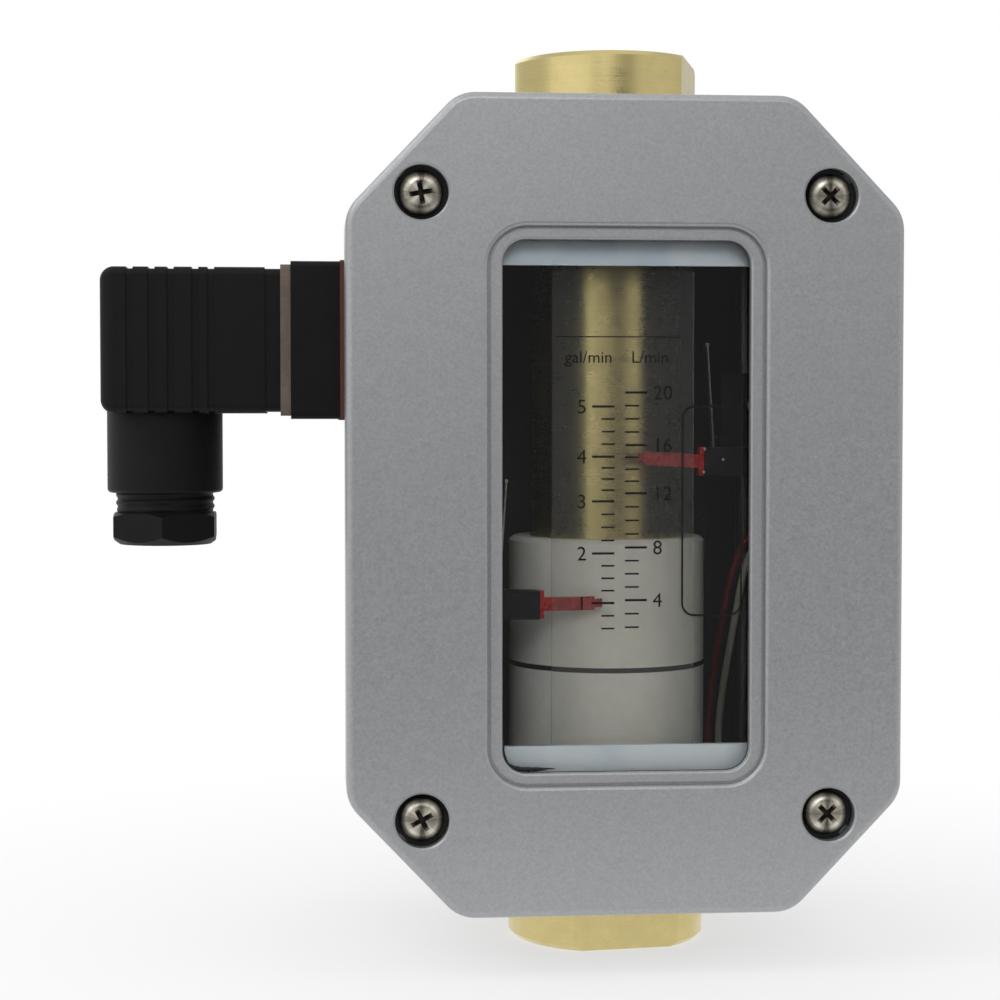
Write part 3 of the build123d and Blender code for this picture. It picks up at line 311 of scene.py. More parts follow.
# turned brass: fine lathe lines in colour, gloss and height, with a few handling marks
def turnedBrass():
    material, tree, shader, place = newMaterial("turnedBrass")
    lines = grouped(tree, "lathe", {"Vector": place, "Lines": brass["linesPerMetre"]})["Value"]
    marks = smudged(tree, place, *brass["marks"])
    tone = plus(tree, spread(tree, lines, *brass["toneRange"]), marks, -brass["marksDarker"])
    rough = plus(tree, spread(tree, lines, *brass["rough"]), marks, brass["marksRougher"])
    connect(tree, shader, {"Base Color": toned(tree, tone, brass), "Metallic": 1.0, "Roughness": rough})
    bump(tree, shader, lines, *brass["bump"])
    return material


steel = {
    "bright": {"tones": ((150, 146, 138), (198, 194, 186)), "rough": (0.22, 0.4)},
    # the rods' look is a darker copy of the bright stainless, painted shade for the rods inside the housing
    "rods": {"tones": ((62, 62, 60), (92, 91, 88)), "rough": (0.34, 0.5)},
    "stretch": (1.0, 0.2, 7.0), "grainPerMetre": 1500.0, "toneRange": (0.1, 0.9),
    "marks": (90.0, 0.5), "marksRougher": 0.15, "bump": (0.2, 0.02 * mm),
}


# stainless: fine turning scratches under soft smudges
def brushedStainless(name, look):
    material, tree, shader, place = newMaterial(name)
    stretch = add(tree, "ShaderNodeMapping", {"Vector": place, "Scale": steel["stretch"]}).outputs[0]
    scratches = grained(tree, stretch, steel["grainPerMetre"], *steel["toneRange"])
    marks = smudged(tree, place, *steel["marks"])
    rough = plus(tree, spread(tree, scratches["Height"], *look["rough"]), marks, steel["marksRougher"])
    connect(tree, shader, {"Base Color": toned(tree, scratches["Value"], look), "Metallic": 1.0,
                           "Roughness": rough})
    bump(tree, shader, scratches["Height"], *steel["bump"])
    return material


screwLook = {
    "tones": ((90, 86, 76), (234, 228, 212)), "rim": (134, 130, 118), "recess": (30, 24, 18),
    "rimFrom": 3.75 * mm, "rimTo": 4.05 * mm, "recessRadius": 2.5 * mm, "recessDepth": 0.55 * mm,
    "recessStart": 0.6, "spokes": 1.3, "fine": 14.0, "spokeShare": 0.65, "fineShare": 0.25,
    "highlightFans": 2.6, "base": -0.28, "x": 36.7 * mm, "z": 55.65 * mm, "rough": (0.28, 0.4),
    "recessRougher": 0.4, "bump": (0.1, 0.02 * mm),
}


# cover screws: satin steel turned round each screw's own axis, with painted highlights in two opposite
# fans, a dark rim and a cross recess in painted shade; the four heads are folded onto one by taking the
# distances from the middle of the cover
def coverScrew():
    material, tree, shader, place = newMaterial("coverScrew")
    low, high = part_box("cover_screws")
    middle = (low + high) / 2
    whole = split(tree, vectorMaths(tree, "SUBTRACT", place, (middle.x, low.y, middle.z))["Vector"])
    x, z = [maths(tree, "SUBTRACT", maths(tree, "ABSOLUTE", part), screwLook[key])
            for part, key in ((whole["X"], "x"), (whole["Z"], "z"))]
    flat = add(tree, "ShaderNodeCombineXYZ", {"X": x, "Z": z}).outputs[0]
    radius = vectorMaths(tree, "LENGTH", flat)["Value"]
    around = vectorMaths(tree, "NORMALIZE", flat)["Vector"]
    spokes = grained(tree, around, screwLook["spokes"], 0.0, 1.0)
    fine = grained(tree, around, screwLook["fine"], 0.0, 1.0)
    across = split(tree, around)
    corners = maths(tree, "POWER", maths(tree, "MULTIPLY", across["X"], across["Z"]), 2.0)
    highlightFans = plus(tree, screwLook["base"], corners, screwLook["highlightFans"])
    mottle = plus(tree, maths(tree, "MULTIPLY", spokes["Value"], screwLook["spokeShare"]), fine["Value"],
                  screwLook["fineShare"])
    # painted highlight: the fans brighten the turned tone in two opposite sectors of each head
    turned = toned(tree, maths(tree, "ADD", mottle, highlightFans), screwLook)
    rim = remap(tree, radius, screwLook["rimFrom"], screwLook["rimTo"], 0.0, 1.0)
    rimmed = mixColour(tree, rim, turned, shade(*screwLook["rim"]))
    # painted shade: the cross recess darkens with its depth, and there the steel is also made dull and not
    # metallic
    near = maths(tree, "LESS_THAN", radius, screwLook["recessRadius"])
    bottom = screwLook["recessDepth"]
    deep = remap(tree, whole["Y"], bottom * screwLook["recessStart"], bottom, 0.0, 1.0)
    recess = maths(tree, "MULTIPLY", near, deep)
    rough = remap(tree, fine["Value"], 0.0, 1.0, *screwLook["rough"])
    connect(tree, shader, {
        "Base Color": mixColour(tree, recess, rimmed, shade(*screwLook["recess"])),
        "Metallic": maths(tree, "SUBTRACT", 1.0, recess),
        "Roughness": plus(tree, rough, recess, screwLook["recessRougher"]),
    })
    bump(tree, shader, fine["Height"], *screwLook["bump"])
    return material


zinc = {"tones": ((216, 223, 227), (194, 206, 217)), "rough": (0.42, 0.54), "metallic": 0.75,
        "clouds": (16.0, 1.0), "grainPerMetre": 700.0, "bump": (0.12, 0.03 * mm)}


# bright zinc plate: bluish film in soft clouds over a rolled sheet
def zincSheet():
    material, tree, shader, place = newMaterial("zincSheet")
    sheet = grained(tree, place, zinc["grainPerMetre"], *zinc["rough"])
    connect(tree, shader, {"Base Color": toned(tree, smudged(tree, place, *zinc["clouds"]), zinc),
                           "Metallic": zinc["metallic"], "Roughness": sheet["Value"]})
    bump(tree, shader, sheet["Height"], *zinc["bump"])
    return material


# materials without shine; grain is per metre, and more holds the shader's other values
dull = {
    "mouldedBlack": {"tones": ((12, 12, 13), (19, 19, 20)), "rough": (0.42, 0.6), "grain": 2600.0,
                     "bump": (0.4, 0.05 * mm), "more": {"Specular IOR Level": 0.16}},
    "blackRubber": {"tones": ((14, 14, 14), (30, 29, 28)), "rough": (0.6, 0.85), "grain": 1400.0,
                    "bump": (0.4, 0.05 * mm)},
    "redRubber": {"tones": ((70, 34, 28), (98, 46, 38)), "rough": (0.5, 0.75), "grain": 1100.0,
                  "bump": (0.4, 0.05 * mm)},
    "tanGasket": {"tones": ((78, 67, 58), (112, 98, 86)), "rough": (0.6, 0.85), "grain": 1600.0,
                  "bump": (0.4, 0.06 * mm)},
    "whiteAcetal": {"tones": ((222, 221, 214), (238, 237, 231)), "rough": (0.3, 0.45), "grain": 800.0,
                    "bump": (0.2, 0.02 * mm),
                    "more": {"Subsurface Weight": 0.15, "Subsurface Scale": 1.0 * mm}},
    "indexBlack": {"tones": ((20, 20, 20), (34, 34, 33)), "rough": (0.45, 0.6), "grain": 900.0,
                   "bump": (0.4, 0.02 * mm)},
    "printInk": {"tones": ((9, 9, 8), (19, 18, 16)), "rough": (0.5, 0.7), "grain": 3000.0,
                 "bump": (0.4, 0.01 * mm), "more": {"Specular IOR Level": 0.1}},
    "groundFerrite": {"tones": ((44, 44, 48), (70, 70, 74)), "rough": (0.5, 0.7), "grain": 1800.0,
                      "bump": (0.4, 0.03 * mm)},
    "redLead": {"tones": ((92, 12, 12), (132, 22, 20)), "rough": (0.35, 0.5), "grain": 1500.0,
                "bump": (0.4, 0.02 * mm)},
    "whiteLead": {"tones": ((160, 156, 145), (188, 185, 174)), "rough": (0.35, 0.5), "grain": 1500.0,
                  "bump": (0.4, 0.02 * mm)},
}
dullMarks = {"marks": (45.0, 0.7), "marksShare": 0.5, "grainShare": 0.5}


# a moulded, cut or printed material: grain in gloss and height, two tones mixed by grain and smudges
def dullMaterial(name):
    look = dull[name]
    material, tree, shader, place = newMaterial(name)
    surface = grained(tree, place, look["grain"], *look["rough"])
    tone = plus(tree, spread(tree, surface["Height"], 0.0, dullMarks["grainShare"]),
                smudged(tree, place, *dullMarks["marks"]), dullMarks["marksShare"])
    connect(tree, shader, {"Base Color": toned(tree, tone, look), "Roughness": surface["Value"],
                           **look.get("more", {})})
    bump(tree, shader, surface["Height"], *look["bump"])
    return material


clear = {
    "glass": {"tones": ((253, 254, 253), (254, 254, 254)), "rough": 0.0, "transmission": 1.0, "ior": 1.48,
              "passed": 0.98},
    "scale": {"tones": ((247, 246, 242), (250, 249, 246)), "rough": 0.01, "transmission": 0.99, "ior": 1.48,
              "passed": 0.96},
    "film": {"tones": ((250, 250, 248), (252, 252, 250)), "rough": 0.0, "transmission": 1.0, "ior": 1.1,
             "passed": 0.98},
    "marks": (30.0, 0.5), "marksRougher": 0.02,
}


# clear sheet: real refraction for the eye, and a plain see-through shadow so that light reaches the inside
def clearSheet(name, look):
    material, tree, shader, place = newMaterial(name)
    marks = smudged(tree, place, *clear["marks"])
    shadow = add(tree, "ShaderNodeLightPath").outputs["Is Shadow Ray"]
    connect(tree, shader, {
        "Base Color": toned(tree, marks, look),
        "Roughness": plus(tree, look["rough"], marks, clear["marksRougher"]),
        "Transmission Weight": look["transmission"],
        "IOR": look["ior"],
        "Alpha": maths(tree, "SUBTRACT", 1.0, maths(tree, "MULTIPLY", shadow, look["passed"])),
    })
    return material


pointerLook = {"tones": ((132, 9, 11), (186, 20, 20)), "grainPerMetre": 500.0, "rough": (0.22, 0.34),
               "transmission": 0.12, "ior": 1.5}


# translucent red moulding
def redPointer():
    material, tree, shader, place = newMaterial("redPointer")
    surface = grained(tree, place, pointerLook["grainPerMetre"], *pointerLook["rough"])
    connect(tree, shader, {"Base Color": toned(tree, surface["Height"], pointerLook),
                           "Roughness": surface["Value"], "IOR": pointerLook["ior"],
                           "Transmission Weight": pointerLook["transmission"]})
    return material


looks = {
    "housing_paint": housingPaint(),
    "brass": turnedBrass(),
    "stainless": brushedStainless("brushedStainless", steel["bright"]),
    "zinc_plate": zincSheet(),
    "black_plastic": dullMaterial("mouldedBlack"),
    "black_rubber": dullMaterial("blackRubber"),
    "red_rubber": dullMaterial("redRubber"),
    "tan_gasket": dullMaterial("tanGasket"),
    "glass": clearSheet("windowGlass", clear["glass"]),
    "clear_scale": clearSheet("clearScale", clear["scale"]),
    "clear_sticker": clearSheet("clearFilm", clear["film"]),
    "white_plastic": dullMaterial("whiteAcetal"),
    "index_black": dullMaterial("indexBlack"),
    "pointer_red": redPointer(),
    "magnet": dullMaterial("groundFerrite"),
    "lead_insulation": dullMaterial("redLead"),
}
ink = dullMaterial("printInk")
leadWhite = dullMaterial("whiteLead")
# the guide rods take the darker stainless, painted shade for their place inside the housing
own = {"cover_screws": coverScrew(), "guide_rods": brushedStainless("shadedRodSteel", steel["rods"])}
for part in frame["record"]["subparts"]:
    for slot in nodes[part["node"]].material_slots:
        slot.material = own.get(part["node"], looks[part["material_slot"]])
print("materials made and given to the CAD nodes")


# quads of a grid with rows x columns corners; either way may close on itself
def gridQuads(rows, columns, closeRows=False, closeColumns=False):
    r = np.arange(rows if closeRows else rows - 1)[:, None]
    c = np.arange(columns if closeColumns else columns - 1)[None, :]
    r2 = (r + 1) % rows
    c2 = (c + 1) % columns
    quads = np.stack([r * columns + c, r * columns + c2, r2 * columns + c2, r2 * columns + c], axis=-1)
    return quads.reshape(-1, 4)


# closed skin over rings of corners, rows x columns x 3: quads between the rings and a flat face at each end
def skin(rings, flipped=False):
    rows, columns = rings.shape[:2]
    last = (rows - 1) * columns
    faces = [tuple(q) for q in gridQuads(rows, columns, closeColumns=True)]
    faces += [tuple(range(columns - 1, -1, -1)), tuple(range(last, last + columns))]
    return rings.reshape(-1, 3), [f[::-1] for f in faces] if flipped else faces


# several (corners, faces) pairs as one pair
def joined(pieces):
    starts = np.cumsum([0] + [len(corners) for corners, _ in pieces[:-1]])
    corners = np.concatenate([c for c, _ in pieces])
    faces = [[i + start for i in face] for start, (_, group) in zip(starts, pieces) for face in group]
    return corners, faces


# a new object of the scene, at the origin
def linked(name, data):
    made = bpy.data.objects.new(name, data)
    bpy.context.scene.collection.objects.link(made)
    return made


# a finished piece: mesh, material, material slot, and the body that it rides on
def makePiece(name, shape, material, body=None, smooth=True):
    corners, faces = shape
    mesh = bpy.data.meshes.new(name)
    mesh.from_pydata(np.asarray(corners, float), [], [tuple(int(i) for i in f) for f in faces])
    mesh.polygons.foreach_set("use_smooth", np.full(len(mesh.polygons), smooth))
    mesh.materials.append(material)
    mesh.update()
    piece = linked(name, mesh)
    if body:
        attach(piece, body)
    return piece


# rows of vectors, each at length one
def unit(rows):
    return rows / np.linalg.norm(rows, axis=1, keepdims=True)


# corners of a control polygon cut again and again, which tends to a smooth quadratic curve
def smoothPath(points, rounds=4):
    path = np.asarray(points, float)
    for _ in range(rounds):
        near = 0.75 * path[:-1] + 0.25 * path[1:]
        far = 0.25 * path[:-1] + 0.75 * path[1:]
        cut = np.stack([near, far], axis=1).reshape(-1, 3)
        path = np.concatenate([path[:1], cut[1:-1], path[-1:]])
    return path


# a circle at each station of a path: the station plus radius times (cos along first plus sin along second)
def circles(path, radius, first, second, sides):
    turn = np.linspace(0, 2 * np.pi, sides, endpoint=False)[None, :, None]
    radius = np.broadcast_to(np.asarray(radius, float), len(path))[:, None, None]
    spokes = np.cos(turn) * first[:, None, :] + np.sin(turn) * second[:, None, :]
    return path[:, None, :] + radius * spokes


# round tube: each station's circle lies square to the path; lean is any direction that no path follows
def tube(path, radius, sides=12, lean=(0.577, 0.577, 0.577)):
    path = np.asarray(path, float)
    ahead = unit(np.gradient(path, axis=0))
    first = unit(np.cross(ahead, lean))
    return skin(circles(path, radius, first, np.cross(ahead, first), sides))


# flat printed line in the plane y = level: a closed bar of the given width carried along the path, its
# front raised by thick and its edges turned halfway at each corner
def printedLine(path, width, level, thick):
    path = np.asarray(path, float)
    ahead = np.gradient(path, axis=0)
    if len(path) > 2:
        before = unit(np.diff(path, axis=0))
        ahead[1:-1] = before[:-1] + before[1:]
    ahead = unit(ahead)
    side = np.stack([-ahead[:, 1], ahead[:, 0]], axis=1) * np.asarray(width, float).reshape(-1, 1) / 2
    edges = ((path + side, level - thick), (path - side, level - thick), (path - side, level),
             (path + side, level))
    return skin(np.stack([np.stack([edge[:, 0], np.full(len(edge), y), edge[:, 1]], axis=1)
                          for edge, y in edges], axis=1))


# rounded rectangle round the origin, anticlockwise from the right: a quarter circle at each corner
def roundedRectangle(w, h, r, steps=10):
    arcs = []
    for x, z, start in ((w - r, h - r, 0), (r - w, h - r, 90), (r - w, r - h, 180), (w - r, r - h, 270)):
        turn = np.radians(np.linspace(start, start + 90, steps))
        arcs.append(np.stack([x + r * np.cos(turn), z + r * np.sin(turn)], axis=1))
    return np.concatenate(arcs)


lettering = {"measure": "4", "depth": 0.05, "curveSteps": 5, "boldness": 0.001, "mergeWithin": 0.0005}


# corners and faces of a word in the plain built-in face, one metre in size, as Blender's text makes it
def wordMesh(word, align):
    curve = bpy.data.curves.new("word", "FONT")
    curve.body = word
    curve.align_x = align
    curve.extrude = lettering["depth"]
    curve.offset = lettering["boldness"]
    curve.resolution_u = lettering["curveSteps"]
    holder = bpy.data.objects.new("word", curve)
    mesh = bpy.data.meshes.new_from_object(holder)
    merged = bmesh.new()
    merged.from_mesh(mesh)
    bmesh.ops.remove_doubles(merged, verts=merged.verts, dist=lettering["mergeWithin"])
    merged.verts.index_update()
    corners = np.array([v.co[:] for v in merged.verts])
    faces = [[v.index for v in f.verts] for f in merged.faces]
    merged.free()
    bpy.data.objects.remove(holder)
    bpy.data.curves.remove(curve)
    bpy.data.meshes.remove(mesh)
    return corners, faces


# a word as raised ink in the plane y = level: z is the foot of its letters, height that of a numeral
def writtenWord(word, x, z, height, level, thick, align):
    measure = wordMesh(lettering["measure"], "LEFT")[0]
    size = height / np.ptp(measure[:, 1])
    corners, faces = wordMesh(word, align)
    y = level - thick / 2 - corners[:, 2] / lettering["depth"] * thick / 2
    return np.stack([x + size * corners[:, 0], y, z + size * corners[:, 1]], axis=1), faces


# in each side, marks and places are in millimetres: far and near are the two ends of a long tick
scale = {
    "inkThick": 0.03 * mm, "lift": 0.01 * mm,
    "majorWidth": 0.42 * mm, "minorWidth": 0.32 * mm, "minorBetween": 3, "minorBelow": 2,
    "numeralHeight": 2.55 * mm, "unitHeight": 2.15 * mm,
    "ruleZ": 114.96 * mm, "ruleX": (-12.44 * mm, 10.71 * mm), "ruleWidth": 0.22 * mm,
    "unitZ": 110.2 * mm,
    "left": {"marks": (("5", 102.21), ("4", 93.02), ("3", 84.83), ("2", 75.25), ("1", 66.11)),
             "below": 2.35, "far": -5.76, "near": -1.58, "minorFar": -4.0, "numeral": -6.7,
             "align": "RIGHT", "unit": "gal/min", "unitX": -6.4},
    "right": {"marks": (("20", 104.78), ("16", 95.13), ("12", 86.29), ("8", 76.32), ("4", 66.62)),
              "below": 2.5, "far": 4.46, "near": 0.37, "minorFar": 2.97, "numeral": 5.5,
              "align": "LEFT", "unit": "L/min", "unitX": 4.95},
}


# one side of the scale: a long tick and a numeral at each mark, short ticks evenly between marks and below
def scaleSide(look, level):
    thick = scale["inkThick"]
    heights = [z * mm for _, z in look["marks"]]
    short = []
    for upper, lower in zip(heights, heights[1:]):
        short += list(np.linspace(upper, lower, scale["minorBetween"] + 2)[1:-1])
    short += [heights[-1] - (i + 1) * look["below"] * mm for i in range(scale["minorBelow"])]
    ticks = [(look["minorFar"], z, scale["minorWidth"]) for z in short]
    ticks += [(look["far"], z, scale["majorWidth"]) for z in heights]
    made = [printedLine([(look["near"] * mm, z), (far * mm, z)], width, level, thick)
            for far, z, width in ticks]
    size = scale["numeralHeight"]
    for word, z in look["marks"]:
        made.append(writtenWord(word, look["numeral"] * mm, z * mm - size / 2, size, level, thick,
                                look["align"]))
    made.append(writtenWord(look["unit"], look["unitX"] * mm, scale["unitZ"], scale["unitHeight"], level,
                            thick, "CENTER"))
    return made


# both sides of the scale and the rule above them, on the front of the clear strip
def scalePrint():
    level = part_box("scale_strip")[0].y - scale["lift"]
    lines = scaleSide(scale["left"], level) + scaleSide(scale["right"], level)
    rule = [(x, scale["ruleZ"]) for x in scale["ruleX"]]
    lines.append(printedLine(rule, scale["ruleWidth"], level, scale["inkThick"]))
    makePiece("scalePrint", joined(lines), ink, "meter", smooth=False)


scalePrint()
print("scale printed")

label = {
    "inset": 0.5 * mm, "round": 2.2 * mm, "lineWidth": 0.38 * mm, "inkThick": 0.03 * mm, "lift": 0.01 * mm,
    "arrowLow": -12.0 * mm, "arrowHigh": 1.5 * mm, "arrowX": -1.3 * mm, "headLength": 2.6 * mm,
    "headWidth": 1.2 * mm, "headTip": 0.04 * mm,
}


# rounded border of the clear sticker and a plain arrow that shows which way the flow goes
def labelPrint():
    low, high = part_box("flow_label")
    level = high.y + label["lift"] + label["inkThick"]
    middle = (low + high) / 2
    centre = np.array([middle.x, middle.z])
    border = roundedRectangle((high.x - low.x) / 2 - label["inset"], (high.z - low.z) / 2 - label["inset"],
                              label["round"])
    x = label["arrowX"]
    neck = label["arrowHigh"] - label["headLength"]
    lines = [
        (np.concatenate([border, border[:2]]), label["lineWidth"]),
        (np.array([(x, label["arrowLow"]), (x, neck)]), label["lineWidth"]),
        (np.array([(x, neck), (x, label["arrowHigh"])]), (label["headWidth"], label["headTip"])),
    ]
    made = [printedLine(path + centre, width, level, label["inkThick"]) for path, width in lines]
    makePiece("labelPrint", joined(made), ink, "meter", smooth=False)


labelPrint()
print("label printed")

pane = {"clear": 0.04 * mm, "round": 2.0 * mm, "groundEdge": 0.35 * mm}


# window pane: a rounded rectangle carried through the glass, drawn in at both faces by the ground edge
def windowPane():
    low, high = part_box("window_glass")
    middle = (low + high) / 2
    half = (high - low) / 2
    edge = pane["groundEdge"]
    front = low.y + pane["clear"]
    back = high.y - pane["clear"]
    rings = []
    for inset, y in ((edge, front), (0.0, front + edge), (0.0, back - edge), (edge, back)):
        outline = roundedRectangle(half.x - inset, half.z - inset, pane["round"] - inset)
        rings.append(np.stack([middle.x + outline[:, 0], np.full(len(outline), y),
                               middle.z + outline[:, 1]], axis=1))
    piece = makePiece("windowPane", skin(np.stack(rings), flipped=True), looks["glass"], "meter",
                      smooth=False)
    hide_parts("window_glass")


windowPane()
print("window glazed")

# wire is the wire's radius, and openPace how much more an open turn rises than a closed one, in such radii
spring = {"wire": 0.6 * mm, "mean": 8.4 * mm, "turns": 12, "closed": 0.9, "openPace": 12, "steps": 900,
          "sides": 10}


# return spring: a helix whose pitch falls to the wire's own thickness in the closed turn at each end
def returnSpring():
    turns = np.linspace(0, spring["turns"], spring["steps"])
    wire = spring["wire"]
    opening = np.clip(np.minimum(turns, spring["turns"] - turns) - spring["closed"], 0, 1)
    pace = 2 * wire + opening * spring["openPace"] * wire
    rise = np.concatenate([[0], np.cumsum((pace[1:] + pace[:-1]) / 2)])
    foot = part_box("magnet_retainer")[1].z
    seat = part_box("upper_spider")[0].z
    z = foot + wire + rise / rise[-1] * (seat - wire - (foot + wire))
    turn = 2 * np.pi * turns
    path = np.stack([spring["mean"] * np.cos(turn), spring["mean"] * np.sin(turn), z], axis=1)
    out = np.stack([np.cos(turn), np.sin(turn), np.zeros_like(turn)], axis=1)
    up = np.cross(out, unit(np.gradient(path, axis=0)))
    shape = skin(circles(path, wire, out, up, spring["sides"]), flipped=True)
    piece = makePiece("returnSpring", shape, looks["stainless"], "meter")
    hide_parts("return_spring")
    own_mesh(piece)


returnSpring()
print("return spring wound")

# the points of the leads are in millimetres
leads = {
    "radius": 0.7 * mm, "pitch": 2.2, "innerX": 22.8, "outerX": 41.3, "dropX": 27.2, "dropBelow": 14.0,
    "stagger": 1.5, "dropY": 0.6, "slackX": 1.2, "slackY": 5.0, "notchY": 14.5, "bendZ": 44.0,
    "overNotch": 3.0, "notchAbove": 1.5, "turnAbove": 2.0, "terminals": (6.0, 14.4), "terminalWidth": 3.2,
    "harnessZ": 23.5, "harnessX": -44.6, "cornerX": -33.0, "cornerZ": 38.0, "frontY": 17.6, "rowPitch": 1.8,
    "contacts": ((6.0, -2.4), (0.0, -6.0), (0.0, 6.0), (-6.0, 2.4)), "connectorZ": 114.5,
    "contactSheet": 0.8,
}
tints = {"Red": looks["lead_insulation"], "White": leadWhite}


# middle of a node's box along one axis, 0 for x to 2 for z
def centreOf(node, axis):
    low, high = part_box(node)
    return (low[axis] + high[axis]) / 2


# where the leads pass the notch in the lower bracket
def notchLevel():
    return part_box("lower_bracket")[0].z / mm + leads["notchAbove"]


# the two leads of one switch: out of the terminals, round the web and down to the notch in the bracket
def switchLeads(name, side):
    node = name + "_switch_terminals"
    level = centreOf(node, 2) / mm - sum(leads["terminals"]) / 2
    middle = centreOf(node, 1) / mm
    start = max(abs(corner.x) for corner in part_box(node)) / mm
    notch = notchLevel()
    for i, (height, tint) in enumerate(zip(leads["terminals"], tints)):
        y = middle + leads["terminalWidth"] / 4 - leads["terminalWidth"] / 2 * i
        under = level - leads["dropBelow"] - leads["stagger"] * i
        end = leads["innerX"] + leads["pitch"] * i
        points = np.array([
            (start, y, level + height),
            (leads["outerX"], y, level + height),
            (leads["outerX"], y, level - leads["dropBelow"] / 2),
            (leads["dropX"] + leads["pitch"] * i / 2, y + leads["dropY"], under),
            (end + leads["slackX"], y + leads["slackY"], (under + leads["bendZ"]) / 2),
            (end, leads["notchY"], leads["bendZ"] - leads["overNotch"]),
            (end, leads["notchY"], notch),
        ]) * mm
        points[:, 0] *= side
        piece = makePiece(name + "Lead" + tint, tube(smoothPath(points), leads["radius"]), tints[tint])
        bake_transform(piece)
        if i == 0:
            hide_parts(name + "_switch_leads")


# the fixed part: from the four notches, under the meter and up the left wall to the contacts
def wireHarness():
    inner = leads["innerX"]
    outer = leads["innerX"] + leads["pitch"]
    runs = [(-inner, 1, "Red"), (-outer, 0, "White"), (outer, 3, "White"), (inner, 2, "Red")]
    made = {"Red": [], "White": []}
    for (x, row, tint), (offsetY, offsetZ) in zip(runs, leads["contacts"]):
        y = leads["frontY"] + leads["rowPitch"] * row
        points = np.array([
            (x, leads["notchY"], notchLevel()),
            (x, leads["notchY"], leads["harnessZ"]),
            (x, y, leads["harnessZ"]),
            (leads["cornerX"], y, leads["harnessZ"]),
            (leads["harnessX"], y, leads["cornerZ"]),
            (leads["harnessX"], y, leads["connectorZ"] + offsetZ),
            (leads["harnessX"], offsetY + leads["contactSheet"] / 2, leads["connectorZ"] + offsetZ),
        ]) * mm
        made[tint].append(tube(smoothPath(points), leads["radius"]))
    pieces = [makePiece("harness" + tint, joined(made[tint]), tints[tint], "meter")
              for tint in tints]
    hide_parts("wire_harness")


switchLeads("low", -1)
switchLeads("high", 1)
wireHarness()
print("leads laid")

# threads are in millimetres; plain is how far the smooth side of the sleeve lies behind the root
pipeThread = {"root": 9.87, "crest": 9.2, "plain": 0.01, "pitch": 1.81, "sides": 72}
threads = {
    "inlet": {**pipeThread, "from": 0.4, "to": 17.6, "steps": 140},
    "outlet": {**pipeThread, "from": 152.6, "to": 167.6, "steps": 124},
}


# turn and height of each corner of a thread, and its ridge, which rises and falls with height less turn
def threadGrid(look, bottom, top):
    turn = np.linspace(0, 2 * np.pi, look["sides"], endpoint=False)[None, :]
    z = np.linspace(bottom, top, look["steps"])[:, None] + 0 * turn
    phase = (z / look["pitch"] - turn / (2 * np.pi)) % 1.0
    return turn + 0 * z, z, 1 - np.abs(2 * phase - 1)


# closed sleeve between a threaded face and a plain one round the upright axis at centreX
def sleeve(look, turn, z, threaded, plain, centreX=0.0):
    radius = np.concatenate([threaded, np.full_like(threaded, plain)])
    height = np.concatenate([z, z[::-1]])
    angle = np.concatenate([turn, turn[::-1]])
    corners = np.stack([radius * np.cos(angle) + centreX, radius * np.sin(angle), height], axis=-1)
    faces = gridQuads(2 * look["steps"], look["sides"], closeRows=True, closeColumns=True)
    return corners.reshape(-1, 3) * mm, faces


# thread in a bore: a sleeve whose inner radius falls at the ridge, fading at both ends
def boreThread(name, look):
    turn, z, ridge = threadGrid(look, look["from"], look["to"])
    fade = np.clip(np.minimum(z - look["from"], look["to"] - z) / look["pitch"], 0, 1)
    inner = look["root"] - (look["root"] - look["crest"]) * ridge * fade
    corners, faces = sleeve(look, turn, z, inner, look["root"] + look["plain"])
    makePiece(name, (corners, faces[:, ::-1]), looks["brass"], "meter")


for name, look in threads.items():
    boreThread(name + "Thread", look)

# steep and rootShare shape the ridge: a slope of that factor, cut off flat at the root and at the crest
gland = {"root": 9.02, "crest": 9.32, "plain": 0.06, "pitch": 1.5, "headHeight": 5.9, "intoNeck": 0.4,
         "fade": 1.2, "steep": 1.6, "rootShare": 0.3, "sides": 96, "steps": 44}


# outside thread on the gland screw's shank, between its head and the plug's neck: a sleeve whose outer
# radius rises with the ridge, fading in above the head
def glandThread():
    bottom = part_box("gland_screw")[0].z / mm + gland["headHeight"]
    turn, z, ridge = threadGrid(gland, bottom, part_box("plug_housing")[0].z / mm + gland["intoNeck"])
    ridge = np.clip(gland["steep"] * ridge - gland["rootShare"], 0, 1)
    fade = np.clip((z - bottom) / gland["fade"], 0, 1)
    outer = gland["root"] + (gland["crest"] - gland["root"]) * ridge * fade
    shape = sleeve(gland, turn, z, outer, gland["root"] - gland["plain"], centreOf("gland_screw", 0) / mm)
    makePiece("glandThread", shape, looks["black_plastic"], "meter")


glandThread()
print("threads cut")

# points are in millimetres from the middle of the pane
bead = {
    "points": ((-22.0, -41.0), (-22.1, -45.0), (-20.8, -47.0), (-17.0, -47.2), (-12.6, -47.0)),
    "before": 0.25 * mm, "radius": 0.5 * mm, "least": 0.05 * mm, "ragged": 0.55, "waveSum": 3,
    "waves": (3, 7, 12, 19, 31), "blunt": 0.35, "seed": 7, "steps": 90, "sides": 10,
}


